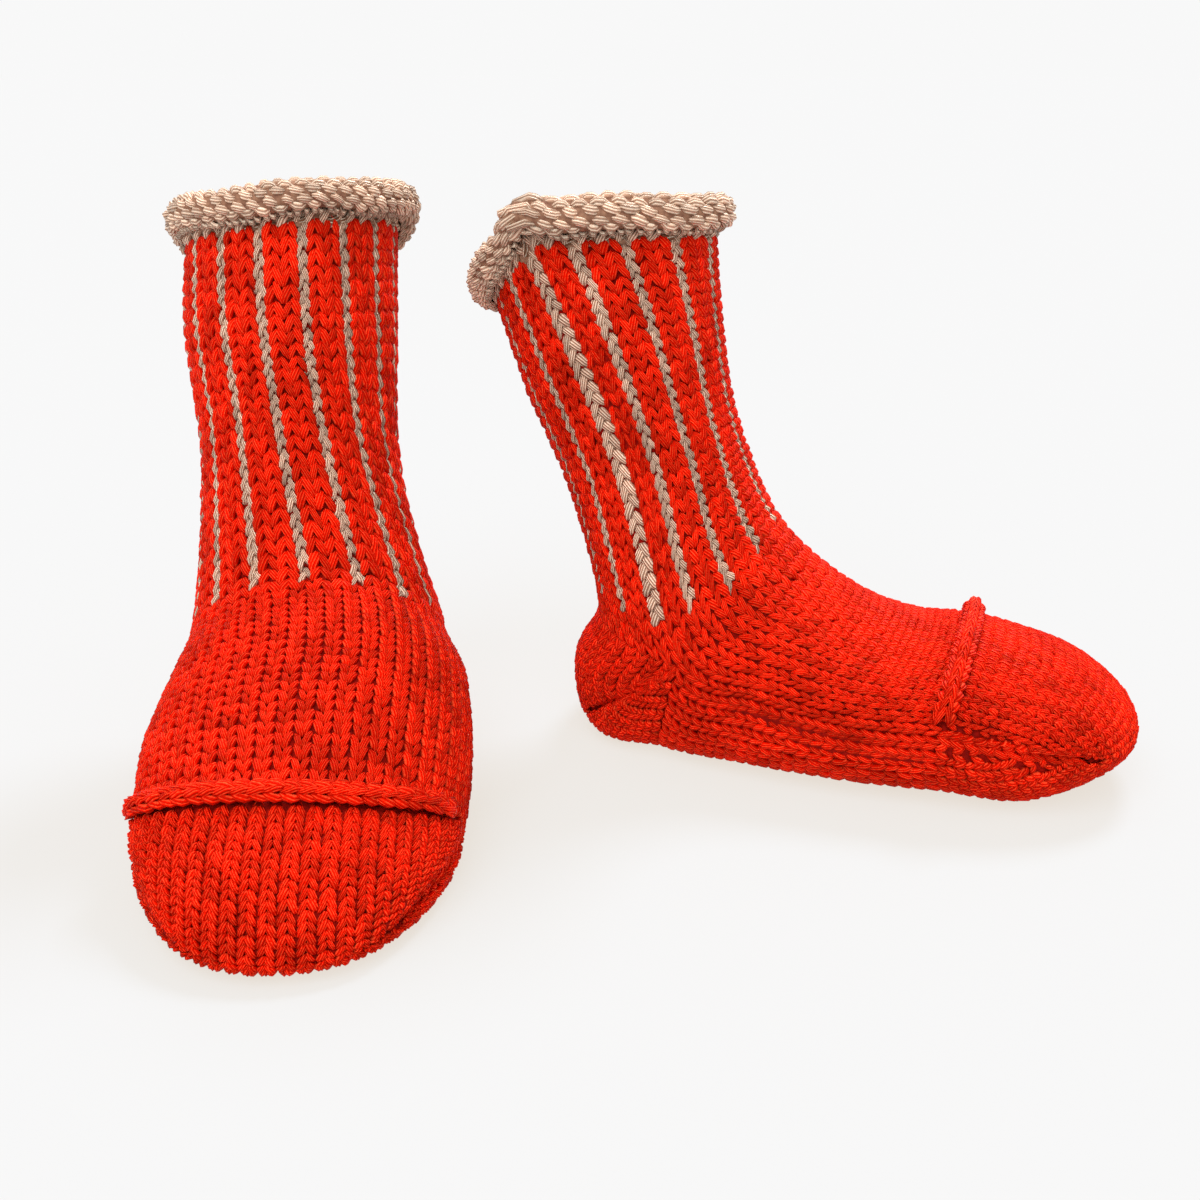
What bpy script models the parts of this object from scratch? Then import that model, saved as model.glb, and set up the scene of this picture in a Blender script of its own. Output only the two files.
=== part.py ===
"""Pair of knitted baby socks that stand side by side, each with a rolled cuff, a ribbed leg,
a foot with a pocket heel, a toe cap and a raised toe seam. Metres, +Z up, floor at z = 0."""

import math
from typing import NamedTuple

import bmesh
import bpy
import numpy as np

MM = 0.001
WALL = 2.4 * MM
SEAM_GAP = 0.3 * MM
RIBS = 16
RIB_GROOVE = 0.7 * MM
RIB_VALLEY = 0.1 * MM
COLUMNS_PER_RIB = 4
LEG_COLUMNS = RIBS * COLUMNS_PER_RIB
LEG_ROWS = 11
FOOT_COLUMNS = 36
FOOT_ROWS = 10
POCKET_ROWS = 5
ROLL_RADIUS = 3.9 * MM
ROLL_WALL = 2.28 * MM
ROLL_CENTRE_OUT = 0.6 * MM
ROLL_CENTRE_UP = 4.1 * MM
ROLL_EDGE_ANGLE = math.radians(-75)
ROLL_OUTER_POINTS = 8
ROLL_INNER_POINTS = 5
ROLL_COLUMNS = 40
WELT_HALF_WIDTH = 2.2 * MM
WELT_HEIGHT = 2.4 * MM
WELT_LIFT = 0.35 * MM
WELT_COLUMNS = 22
WELT_TOP_POINTS = 5
WELT_END = 0.045
DENSE_POINTS = 97
ROUND = 2.0
FOLD_REACH = 5.0
SMALL_STEP = 0.02
MERGE_DISTANCE = 0.02 * MM
SHARP_ANGLE = math.radians(50)
LAYER_OF_RIB = "rib"


class Section(NamedTuple):
    """A row of the knitting, in mm from the heel's back along the foot and up from the floor: its
    front, its sides, how far its middle sways and its left side rises, and its fold's depth."""

    front_x: float
    front_z: float
    side_x: float
    side_z: float
    half_width: float
    sway: float
    tilt: float
    dent: float


class Outline(NamedTuple):
    """A point of the middle line down the back and under the foot, in mm, and how square the row is
    there: 2 is an ellipse, and more is flatter."""

    x: float
    z: float
    squareness: float


class Pocket(NamedTuple):
    """A short-row pocket: its rows end on mitre lines that run from the side to this corner."""

    side_x: float
    side_z: float
    half_width: float
    before: Outline
    corner: Outline
    after: Outline


class Sock(NamedTuple):
    """One sock: the floor point under its heel's back, in mm, its heading in degrees, and its rows."""

    name: str
    x: float
    y: float
    heading: float
    sections: tuple
    back: tuple
    heel: Pocket
    sole: tuple
    toe: Pocket


SEAM, UPPER_LEG, LOWER_LEG, ANKLE, ARCH, BALL, RIDGE = range(7)
HEEL_CORNER, SOLE_START, TOE_START, TOE_CORNER, TOE_END = 5, 7, 10, 12, 14


def spline(knots, values, at):
    """Points of a smooth curve through rows of values, its slopes from each knot's neighbours."""
    knots = np.asarray(knots, float)
    values = np.asarray(values, float)
    slopes = np.gradient(values, knots, axis=0)
    at = np.clip(np.atleast_1d(at), knots[0], knots[-1])
    left = np.clip(np.searchsorted(knots, at, side="right") - 1, 0, len(knots) - 2)
    span = (knots[left + 1] - knots[left])[:, None]
    s = (at - knots[left])[:, None] / span
    rise = values[left + 1] - values[left]
    start = slopes[left] * span
    end = slopes[left + 1] * span
    return values[left] + s * start + s**2 * (3 * rise - 2 * start - end) + s**3 * (start + end - 2 * rise)


def half_ring(centre, tip, squareness, shares):
    """Points at equal shares of the run of half a superellipse, from the right side over the tip to
    the left. The centre holds x, z, half width, sway, the left side's rise and the depth of the fold
    pressed into the right side. Nothing goes below the floor."""
    centre_x, centre_z, half_width, sway, tilt, dent = centre
    angle = np.linspace(-math.pi / 2, math.pi / 2, DENSE_POINTS)
    power = ROUND / squareness
    reach = np.abs(np.cos(angle))**power
    across = np.sign(np.sin(angle)) * np.abs(np.sin(angle))**power
    x = centre_x + (tip[0] - centre_x) * reach
    z = centre_z + (tip[1] - centre_z) * reach + tilt * across
    points = np.stack([x, sway + half_width * across, np.maximum(z, 0)], axis=1)
    run = np.concatenate([[0], np.cumsum(np.linalg.norm(np.diff(points, axis=0), axis=1))])
    points[:, 1] += dent * np.exp(-(run / FOLD_REACH)**2)
    return np.stack([np.interp(shares * run[-1], run, points[:, k]) for k in range(3)], axis=1)


class Shape:
    """The outer surface of one sock, row by row, in metres, placed where the sock stands."""

    def __init__(self, sock):
        self.sock = sock
        self.rows = np.array(sock.sections)
        front_of_ridge = Outline(sock.sections[RIDGE].front_x, sock.sections[RIDGE].front_z, ROUND)
        self.line = np.array([*sock.back, *sock.heel[3:], *sock.sole, *sock.toe[3:], front_of_ridge])
        steps = np.linalg.norm(np.diff(self.line[:, :2], axis=0), axis=1)
        self.line_knots = np.concatenate([[0], np.cumsum(np.sqrt(steps))])
        heading = math.radians(sock.heading)
        cosine, sine = math.cos(heading), math.sin(heading)
        self.turn = np.array([[cosine, -sine], [sine, cosine]])

    def place(self, points):
        """Points of the sock's own frame in mm, as metres on the floor."""
        placed = np.array(points, float)
        placed[:, :2] = placed[:, :2] @ self.turn.T + (self.sock.x, self.sock.y)
        return placed * MM

    def row(self, at):
        """The table's row at a fraction of its index."""
        return spline(np.arange(len(self.rows)), self.rows, at)[0]

    def middle(self, index):
        """The middle line's point at a fraction of its index."""
        knot = np.interp(index, np.arange(len(self.line)), self.line_knots)
        return spline(self.line_knots, self.line, knot)[0]

    def front(self, at, shares):
        """The front half of a row, from the right side over the top to the left."""
        row = self.row(at)
        return self.place(half_ring(row[2:], row[:2], ROUND, shares))

    def under(self, at, index, shares):
        """The back or sole half of a row, its tip on the middle line."""
        tip = self.middle(index)
        return self.place(half_ring(self.row(at)[2:], tip[:2], tip[2], shares))

    def pocket(self, pocket, at, depth, index, shares):
        """A short row of a pocket, at a depth from 0 at its opening to 1 at its corner. The pocket
        keeps most of its width until close to the corner."""
        opening = self.row(at)[2:]
        _, _, half_width, sway, _, _ = opening
        corner = np.array([pocket.side_x, pocket.side_z, pocket.half_width, sway, 0.0, 0.0])
        centre = opening + (corner - opening) * depth
        centre[2] = half_width + (pocket.half_width - half_width) * depth**2
        tip = self.middle(index)
        return self.place(half_ring(centre, tip[:2], tip[2], shares))


def unit(vectors):
    """The vectors at length 1."""
    return vectors / np.linalg.norm(vectors, axis=-1, keepdims=True)


def joined(front, back):
    """A closed ring from a row's two halves, which share their ends."""
    right = (front[:1] + back[:1]) / 2
    left = (front[-1:] + back[-1:]) / 2
    return np.concatenate([right, front[1:-1], left, back[1:-1][::-1]])


class Edge:
    """A ring where two pieces meet: its points, the outward ways and the ways down the knitting."""

    def __init__(self, points, earlier, later):
        around = unit(np.roll(points, -1, axis=0) - np.roll(points, 1, axis=0))
        out = unit(np.cross(around, later - earlier))
        if np.sum(out * (points - points.mean(axis=0))) < 0:
            out = -out
        self.points = points
        self.out = out
        self.down = unit(np.cross(out, around))
        if np.sum(self.down * (later - earlier)) < 0:
            self.down = -self.down

    def nearest(self, place):
        """The index of the point nearest to a place, and how far off it is."""
        away = np.linalg.norm(self.points - np.array(place), axis=1)
        index = int(away.argmin())
        return index, away[index]


def leg_row(shape, at, shares):
    """A closed row of the leg."""
    return joined(shape.front(at, shares), shape.under(at, at, shares))


def foot_row(shape, at, shares):
    """A closed row of the foot."""
    return joined(shape.front(at, shares), shape.under(at, at - ANKLE + SOLE_START, shares))


def top_edge(shape, columns):
    """The ring where the cuff roll meets the leg."""
    shares = np.linspace(0, 1, columns // 2 + 1)
    edge = leg_row(shape, SEAM, shares)
    return Edge(edge, edge, leg_row(shape, SEAM + SMALL_STEP, shares))


def ankle_edge(shape, columns):
    """The ring where the leg meets the foot."""
    shares = np.linspace(0, 1, columns // 2 + 1)
    heel = shape.pocket(shape.sock.heel, ANKLE, SMALL_STEP, ANKLE + 2 * SMALL_STEP, shares)
    later = joined(shape.front(ANKLE + SMALL_STEP, shares), heel)
    return Edge(leg_row(shape, ANKLE, shares), leg_row(shape, ANKLE - SMALL_STEP, shares), later)


def ridge_edge(shape, columns):
    """The ring where the foot meets the toe cap."""
    shares = np.linspace(0, 1, columns // 2 + 1)
    toe = shape.sock.toe
    top = shape.pocket(toe, RIDGE, SMALL_STEP, TOE_END - 2 * SMALL_STEP, shares)
    sole = shape.pocket(toe, RIDGE, SMALL_STEP, TOE_START + 2 * SMALL_STEP, shares)
    earlier = foot_row(shape, RIDGE - SMALL_STEP, shares)
    return Edge(foot_row(shape, RIDGE, shares), earlier, joined(top, sole))


def leg_patches(shape):
    """The front and back of the leg."""
    shares = np.linspace(0, 1, LEG_COLUMNS // 2 + 1)
    rows = np.linspace(SEAM, ANKLE, LEG_ROWS)
    return [
        [shape.front(t, shares) for t in rows],
        [shape.under(t, t, shares) for t in rows],
    ]


def foot_patches(shape):
    """The instep, the sole, and the two sides of the heel's mitre."""
    shares = np.linspace(0, 1, FOOT_COLUMNS // 2 + 1)
    rows = np.linspace(ANKLE, RIDGE, FOOT_ROWS)
    depths = np.linspace(0, 1, POCKET_ROWS + 1)
    heel = shape.sock.heel
    down = HEEL_CORNER - ANKLE
    ahead = SOLE_START - HEEL_CORNER
    return [
        [shape.front(t, shares) for t in rows],
        [shape.under(t, t - ANKLE + SOLE_START, shares) for t in rows],
        [shape.pocket(heel, ANKLE, d, ANKLE + d * down, shares) for d in depths],
        [shape.pocket(heel, ANKLE, d, SOLE_START - d * ahead, shares) for d in depths],
    ]


def toe_patches(shape):
    """The sole side and the top of the toe cap."""
    shares = np.linspace(0, 1, FOOT_COLUMNS // 2 + 1)
    depths = np.linspace(0, 1, POCKET_ROWS + 1)
    toe = shape.sock.toe
    ahead = TOE_CORNER - TOE_START
    back = TOE_END - TOE_CORNER
    return [
        [shape.pocket(toe, RIDGE, d, TOE_START + d * ahead, shares) for d in depths],
        [shape.pocket(toe, RIDGE, d, TOE_END - d * back, shares) for d in depths],
    ]


def rib_depths(columns):
    """How far each column of half a leg lies below the ribs' crests: a groove for each stripe."""
    profile = [-RIB_GROOVE, 0.0, -RIB_VALLEY, 0.0]
    return [profile[column % COLUMNS_PER_RIB] for column in range(columns)]


def welded_sheet(patches, ribbed):
    """One open sheet of quads from the patches, its faces all turned the same way."""
    sheet = bmesh.new()
    layer = sheet.verts.layers.float.new(LAYER_OF_RIB)
    for patch in patches:
        depths = rib_depths(len(patch[0])) if ribbed else [0.0] * len(patch[0])
        made = []
        for row in patch:
            vertices = [sheet.verts.new(point) for point in row]
            for vertex, depth in zip(vertices, depths):
                vertex[layer] = depth
            made.append(vertices)
        for upper, lower in zip(made, made[1:]):
            for k in range(len(upper) - 1):
                sheet.faces.new([upper[k], upper[k + 1], lower[k + 1], lower[k]])
    bmesh.ops.remove_doubles(sheet, verts=sheet.verts, dist=MERGE_DISTANCE)
    bmesh.ops.dissolve_degenerate(sheet, edges=sheet.edges, dist=MERGE_DISTANCE)
    bmesh.ops.recalc_face_normals(sheet, faces=sheet.faces)
    return sheet


def turn_outwards(sheet):
    """Turns the sheet's faces over if most of them face its middle."""
    centre = sum((face.calc_center_median() for face in sheet.faces), start=sheet.faces[0].normal * 0)
    centre = centre / len(sheet.faces)
    facing = sum(face.normal.dot(face.calc_center_median() - centre) for face in sheet.faces)
    if facing < 0:
        bmesh.ops.reverse_faces(sheet, faces=sheet.faces)
    sheet.normal_update()


def edge_side(vertex, way):
    """1 if the sheet goes on from the vertex in the given way, or -1 if it goes against it."""
    ahead = 0.0
    for link in vertex.link_edges:
        if not link.is_boundary:
            ahead += float(np.dot(np.array(link.other_vert(vertex).co - vertex.co), way))
    return 1 if ahead > 0 else -1


def cloth(patches, edges, ribbed=False):
    """A wall of cloth whose outer side is the patches: its open edges are drawn back by half of the
    seam's gap, and its inner side stays plain."""
    sheet = welded_sheet(patches, ribbed)
    turn_outwards(sheet)
    layer = sheet.verts.layers.float[LAYER_OF_RIB]
    places = []
    normals = []
    for vertex in sheet.verts:
        place = np.array(vertex.co)
        normal = np.array(vertex.normal)
        if vertex.is_boundary:
            edge, index = min(((e, *e.nearest(place)) for e in edges), key=lambda found: found[2])[:2]
            normal = edge.out[index]
            place = place + edge.down[index] * edge_side(vertex, edge.down[index]) * (SEAM_GAP / 2)
        places.append(place)
        normals.append(normal)
    wall = bmesh.new()
    outer = [wall.verts.new(p + n * v[layer]) for p, n, v in zip(places, normals, sheet.verts)]
    inner = [wall.verts.new(p - n * WALL) for p, n in zip(places, normals)]
    for face in sheet.faces:
        corners = [vertex.index for vertex in face.verts]
        wall.faces.new([outer[k] for k in corners])
        wall.faces.new([inner[k] for k in reversed(corners)])
    for edge in sheet.edges:
        if edge.is_boundary:
            loop = edge.link_loops[0]
            first, second = loop.vert.index, loop.link_loop_next.vert.index
            wall.faces.new([outer[second], outer[first], inner[first], inner[second]])
    sheet.free()
    return wall


def swept(sections, closed):
    """A solid through equal closed sections, in a ring or with flat ends."""
    solid = bmesh.new()
    made = [[solid.verts.new(point) for point in section] for section in sections]
    pairs = list(zip(made, made[1:]))
    if closed:
        pairs.append((made[-1], made[0]))
    count = len(made[0])
    for first, second in pairs:
        for k in range(count):
            after = (k + 1) % count
            solid.faces.new([first[k], first[after], second[after], second[k]])
    if not closed:
        solid.faces.new(made[0])
        solid.faces.new(list(reversed(made[-1])))
    bmesh.ops.recalc_face_normals(solid, faces=solid.faces)
    return solid


def roll_section():
    """The section of the rolled edge, as steps out and up from the leg's top edge: a wall that rises
    and curls outwards and down until its edge nearly meets the leg."""
    outer = np.linspace(math.pi, ROLL_EDGE_ANGLE, ROLL_OUTER_POINTS)
    inner = np.linspace(ROLL_EDGE_ANGLE, math.pi, ROLL_INNER_POINTS)
    points = [(-WALL, SEAM_GAP / 2)]
    for angles, radius in ((outer, ROLL_RADIUS), (inner, ROLL_RADIUS - ROLL_WALL)):
        for angle in angles:
            out = ROLL_CENTRE_OUT + radius * math.cos(angle)
            up = ROLL_CENTRE_UP + radius * math.sin(angle)
            points.append((out, up))
    points.append((0.0, SEAM_GAP / 2))
    return points


def cuff_roll(shape):
    """The rolled edge all round the leg's top."""
    edge = top_edge(shape, ROLL_COLUMNS)
    section = roll_section()
    rings = []
    for point, out, down in zip(edge.points, edge.out, edge.down):
        rings.append([point + out * across - down * rise for across, rise in section])
    return swept(rings, closed=True)


def toe_seam(shape):
    """The raised welt that joins the toe cap to the instep, just clear of both."""
    shares = np.linspace(WELT_END, 1 - WELT_END, WELT_COLUMNS + 1)
    toe = shape.sock.toe
    middle = shape.front(RIDGE, shares)
    before = shape.front(RIDGE - SMALL_STEP, shares)
    after = shape.pocket(toe, RIDGE, SMALL_STEP, TOE_END - 2 * SMALL_STEP, shares)
    back = unit(before - middle)
    ahead = unit(after - middle)
    around = unit(np.gradient(middle, axis=0))
    normal = unit(np.cross(around, back - ahead))
    if normal[len(normal) // 2][2] < 0:
        normal = -normal
    sections = []
    for k in range(len(shares)):
        base = middle[k] + normal[k] * WELT_LIFT
        under = [base + way * WELT_HALF_WIDTH for way in (back[k], back[k] * 0, ahead[k])]
        top = []
        for angle in np.linspace(0, math.pi, WELT_TOP_POINTS + 2)[1:-1]:
            way = ahead[k] if angle < math.pi / 2 else back[k]
            along = abs(math.cos(angle)) * WELT_HALF_WIDTH
            top.append(base + way * along + normal[k] * math.sin(angle) * WELT_HEIGHT)
        sections.append(under + top)
    return swept(sections, closed=False)


def material(name, colour, roughness):
    """A plain Principled material."""
    made = bpy.data.materials.new(name)
    made.use_nodes = True
    shader = made.node_tree.nodes["Principled BSDF"]
    shader.inputs["Base Color"].default_value = (*colour, 1.0)
    shader.inputs["Roughness"].default_value = roughness
    shader.inputs["Metallic"].default_value = 0.0
    return made


RED = (0.85, 0.012, 0.004)
BEIGE = (0.50, 0.34, 0.26)
YARN_ROUGHNESS = 0.8

RIGHT_SOCK = Sock(
    name="right",
    x=-17.1,
    y=39.2,
    heading=-18.7,
    sections=(
        Section(31.8, 105.5, 1.0, 102.0, 20.0, 0.0, -2.5, 0.0),
        Section(33.3, 89.0, 10.0, 83.5, 21.0, 0.0, -1.5, 1.6),
        Section(37.0, 69.0, 19.5, 59.0, 20.0, 0.0, 0.0, 1.6),
        Section(47.0, 48.0, 32.0, 22.5, 24.0, -0.5, 0.0, 0.0),
        Section(63.0, 34.5, 49.5, 18.5, 26.5, -0.8, 0.0, 0.0),
        Section(76.5, 29.3, 68.0, 16.5, 28.0, -0.6, 0.0, 0.0),
        Section(87.5, 30.0, 84.5, 16.5, 27.5, 0.0, 0.0, 0.0),
    ),
    back=(Outline(-13.5, 89.0, 2.0), Outline(-7.2, 71.5, 2.0), Outline(1.8, 52.0, 2.0), Outline(9.0, 28.0, 2.2)),
    heel=Pocket(13.0, 8.0, 17.0, Outline(4.0, 17.0, 2.3), Outline(6.0, 4.0, 2.4), Outline(12.5, -1.2, 3.0)),
    sole=(Outline(26.0, -1.5, 3.4), Outline(45.0, -1.2, 3.4), Outline(66.0, -1.2, 3.2), Outline(86.0, -1.2, 3.0)),
    toe=Pocket(112.0, 12.5, 19.0, Outline(105.5, -1.0, 2.6), Outline(122.0, 11.5, 2.1), Outline(112.5, 23.0, 2.0)),
)
LEFT_SOCK = Sock(
    name="left",
    x=-70.7,
    y=50.6,
    heading=-85.4,
    sections=(
        Section(26.0, 108.5, 4.0, 103.5, 22.0, -3.7, 2.0, 0.0),
        Section(33.5, 90.0, 11.5, 86.0, 22.0, -4.2, 1.0, 0.0),
        Section(39.5, 70.5, 20.0, 57.0, 20.7, -3.1, 0.0, 0.0),
        Section(49.5, 46.0, 32.0, 25.5, 26.0, -0.4, 0.0, 0.0),
        Section(64.0, 39.5, 48.0, 21.5, 29.0, 1.2, 0.0, 0.0),
        Section(80.0, 32.0, 67.0, 15.5, 30.8, 0.6, -0.5, 0.0),
        Section(97.0, 22.3, 83.0, 9.5, 29.6, 0.3, -1.5, 0.0),
    ),
    back=(Outline(-13.5, 89.5, 2.0), Outline(-7.0, 70.0, 2.0), Outline(0.0, 50.0, 2.0), Outline(6.5, 28.0, 2.2)),
    heel=Pocket(11.5, 8.0, 17.0, Outline(1.5, 16.5, 2.3), Outline(4.0, 4.0, 2.4), Outline(11.0, -1.2, 3.0)),
    sole=(Outline(26.0, -1.5, 3.4), Outline(45.0, -1.2, 3.4), Outline(66.0, -1.2, 3.2), Outline(84.0, -1.2, 3.0)),
    toe=Pocket(107.5, 5.5, 18.5, Outline(105.0, -1.2, 2.6), Outline(120.3, 2.8, 2.1), Outline(111.5, 14.5, 2.0)),
)


def add_object(name, solid, finish):
    """A named object of one solid, smooth but for its sharp edges."""
    mesh = bpy.data.meshes.new(name)
    bmesh.ops.triangulate(solid, faces=[face for face in solid.faces if len(face.verts) > 4])
    solid.normal_update()
    if solid.calc_volume(signed=True) < 0:
        bmesh.ops.reverse_faces(solid, faces=solid.faces)
    solid.to_mesh(mesh)
    solid.free()
    mesh.materials.append(finish)
    mesh.shade_smooth()
    mesh.set_sharp_from_angle(angle=SHARP_ANGLE)
    added = bpy.data.objects.new(name, mesh)
    bpy.context.collection.objects.link(added)
    return added


def centre_on_floor(objects):
    """Moves the pair so that the middle of its footprint is the origin."""
    corners = np.array([vertex.co for made in objects for vertex in made.data.vertices])
    middle = (corners.min(axis=0) + corners.max(axis=0)) / 2
    for made in objects:
        for vertex in made.data.vertices:
            vertex.co.x -= middle[0]
            vertex.co.y -= middle[1]


def main():
    """Builds both socks."""
    for old in list(bpy.data.objects):
        bpy.data.objects.remove(old, do_unlink=True)
    red = material("red_yarn", RED, YARN_ROUGHNESS)
    beige = material("beige_yarn", BEIGE, YARN_ROUGHNESS)
    made = []
    for sock in (LEFT_SOCK, RIGHT_SOCK):
        shape = Shape(sock)
        made.append(add_object(sock.name + "_cuff_roll", cuff_roll(shape), beige))
        leg_edges = [top_edge(shape, LEG_COLUMNS), ankle_edge(shape, LEG_COLUMNS)]
        foot_edges = [ankle_edge(shape, FOOT_COLUMNS), ridge_edge(shape, FOOT_COLUMNS)]
        made.append(add_object(sock.name + "_leg", cloth(leg_patches(shape), leg_edges, ribbed=True), red))
        made.append(add_object(sock.name + "_foot", cloth(foot_patches(shape), foot_edges), red))
        made.append(add_object(sock.name + "_toe", cloth(toe_patches(shape), foot_edges[1:]), red))
        made.append(add_object(sock.name + "_toe_seam", toe_seam(shape), red))
    centre_on_floor(made)


main()
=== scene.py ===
import logging
import math
from collections.abc import Callable, Iterator
from contextlib import contextmanager
from dataclasses import astuple, dataclass, field
from enum import Enum

import bpy
import numpy as np
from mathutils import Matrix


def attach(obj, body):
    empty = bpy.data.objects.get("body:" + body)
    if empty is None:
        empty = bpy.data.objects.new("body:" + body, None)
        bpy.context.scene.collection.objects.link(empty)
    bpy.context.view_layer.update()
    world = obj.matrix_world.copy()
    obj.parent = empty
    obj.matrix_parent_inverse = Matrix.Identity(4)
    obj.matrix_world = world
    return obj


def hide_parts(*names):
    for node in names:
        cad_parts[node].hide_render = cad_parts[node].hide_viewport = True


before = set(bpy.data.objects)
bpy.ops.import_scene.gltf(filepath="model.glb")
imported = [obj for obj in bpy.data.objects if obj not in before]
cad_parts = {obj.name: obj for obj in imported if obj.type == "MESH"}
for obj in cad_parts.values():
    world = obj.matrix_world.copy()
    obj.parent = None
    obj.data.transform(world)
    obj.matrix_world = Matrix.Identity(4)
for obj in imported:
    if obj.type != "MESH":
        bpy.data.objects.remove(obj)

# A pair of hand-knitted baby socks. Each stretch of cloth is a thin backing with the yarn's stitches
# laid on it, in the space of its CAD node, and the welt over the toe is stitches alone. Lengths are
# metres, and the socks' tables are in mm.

logging.basicConfig(level=logging.INFO, format="%(message)s")
LOG = logging.getLogger("socks")

Colour = tuple[float, float, float]
Placing = Callable[[np.ndarray, np.ndarray], np.ndarray]

MM = 0.001
HALF_WALES = 24
WALES = 2 * HALF_WALES
WALES_PER_STRIPE = 3
HALF_COLUMNS = 96
EVENLY = np.linspace(0, 1, HALF_COLUMNS + 1)
SAMPLES_PER_ROW = 3
TUBE_RINGS = 61
POCKET_RINGS = 31
RING_POINTS = 97
ROUND = 2.0
SMALL_STEP = 0.02
COLUMNS_PAST_EDGE = 2
MERGE_DISTANCE = 0.05 * MM
FLOOR_GAP = 0.02 * MM
LEAST_MARGIN = 0.1
LEAST_MITRE = 3
MITRE_COLUMNS = 2
MITRE_PITCH = 2.6 * MM
SHADE_SPREAD = 0.2

# How far the fold in a row's side reaches, and the middle of the pair, in mm like the tables.
DENT_REACH = 5.0
PAIR_MIDDLE = (-0.05, 0.04)

# Places in the table of rows, and where each pocket starts, turns and ends on the middle line.
SEAM, ANKLE, RIDGE = 0, 3, 6
HEEL_RUN = (3, 5, 7)
TOE_RUN = (10, 12, 14)


class Yarn(Enum):
    """The two yarns."""

    RED = "red_yarn"
    BEIGE = "beige_yarn"


def spline(knots: np.ndarray, values: np.ndarray, at: float) -> np.ndarray:
    """Reads a smooth curve through rows of values.

    Args:
        knots: the rising places of the rows.
        values: the rows.
        at: the place to read.

    Returns:
        The row there.
    """
    slopes = np.gradient(values, knots, axis=0)
    at = np.clip(at, knots[0], knots[-1])
    left = np.clip(np.searchsorted(knots, at, side="right") - 1, 0, len(knots) - 2)
    span = knots[left + 1] - knots[left]
    s = (at - knots[left]) / span
    rise = values[left + 1] - values[left]
    start = slopes[left] * span
    end = slopes[left + 1] * span
    return values[left] + s * start + s**2 * (3 * rise - 2 * start - end) + s**3 * (start + end - 2 * rise)


def half_ring(centre: np.ndarray, tip: np.ndarray, squareness: float, shares: np.ndarray) -> np.ndarray:
    """Makes half a superellipse, from the right side over the tip to the left.

    Args:
        centre: x, z, half width, sway, the left side's rise and the depth of the fold on the right.
        tip: x and z of the half's tip.
        squareness: 2 for an ellipse, more for a flatter half.
        shares: where the points lie along its run, from 0 to 1.

    Returns:
        The points, none below the floor.
    """
    centre_x, centre_z, half_width, sway, tilt, dent = centre
    angle = np.linspace(-math.pi / 2, math.pi / 2, RING_POINTS)
    power = ROUND / squareness
    reach = np.abs(np.cos(angle))**power
    across = np.sign(np.sin(angle)) * np.abs(np.sin(angle))**power
    x = centre_x + (tip[0] - centre_x) * reach
    z = centre_z + (tip[1] - centre_z) * reach + tilt * across
    points = np.stack([x, sway + half_width * across, np.maximum(z, 0)], axis=1)
    run = np.concatenate([[0], np.cumsum(np.linalg.norm(np.diff(points, axis=0), axis=1))])
    points[:, 1] += dent * np.exp(-(run / DENT_REACH)**2)
    return np.stack([np.interp(shares * run[-1], run, points[:, k]) for k in range(3)], axis=1)


def unit(vectors: np.ndarray) -> np.ndarray:
    """The vectors at length 1."""
    return vectors / np.maximum(np.linalg.norm(vectors, axis=-1, keepdims=True), 1e-12)


def smooth_step(value: np.ndarray) -> np.ndarray:
    """A soft ramp from 0 to 1 over the values 0 to 1."""
    value = np.clip(value, 0, 1)
    return value * value * (3 - 2 * value)


def bell(off: np.ndarray, reach: float) -> np.ndarray:
    """A soft hump, 1 in its middle and near 0 from twice its reach on."""
    return np.exp(-(off / reach)**2)


def patch_of(wales: np.ndarray, rows: np.ndarray) -> list[np.ndarray]:
    """The wale of each stitch in a patch, and its row."""
    return [values.ravel() for values in np.meshgrid(wales, rows, indexing="ij")]


def tucked(wale: np.ndarray, rows_away: np.ndarray, depth: float) -> np.ndarray:
    """How the cloth on top of the foot is drawn in beside the toe seam.

    Args:
        wale: the wale of each stitch.
        rows_away: how many rows it lies from the seam.
        depth: how deep the crease is.

    Returns:
        The height of each stitch, 0 or less.
    """
    reach, end, fade = 1.3, 0.95, 0.15
    side = np.abs(wale - HALF_WALES / 2) / (HALF_WALES / 2)
    return -depth * bell(rows_away, reach) * smooth_step((end - side) / fade)


def woven(rings: list[np.ndarray], rows: int) -> np.ndarray:
    """Lines of points spaced evenly down a fabric, from a list of denser rows.

    Args:
        rings: the dense rows.
        rows: how many rows of stitches it holds.

    Returns:
        The grid, with some lines for each row of stitches.
    """
    dense = np.array(rings)
    lengths = np.linalg.norm(np.diff(dense, axis=0), axis=2).mean(axis=1)
    run = np.concatenate([[0], np.cumsum(lengths)])
    at = np.interp(np.linspace(0, run[-1], rows * SAMPLES_PER_ROW + 1), run, np.arange(len(dense)))
    low = np.clip(np.floor(at).astype(int), 0, len(dense) - 2)
    part = (at - low)[:, None, None]
    return dense[low] * (1 - part) + dense[low + 1] * part


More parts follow.
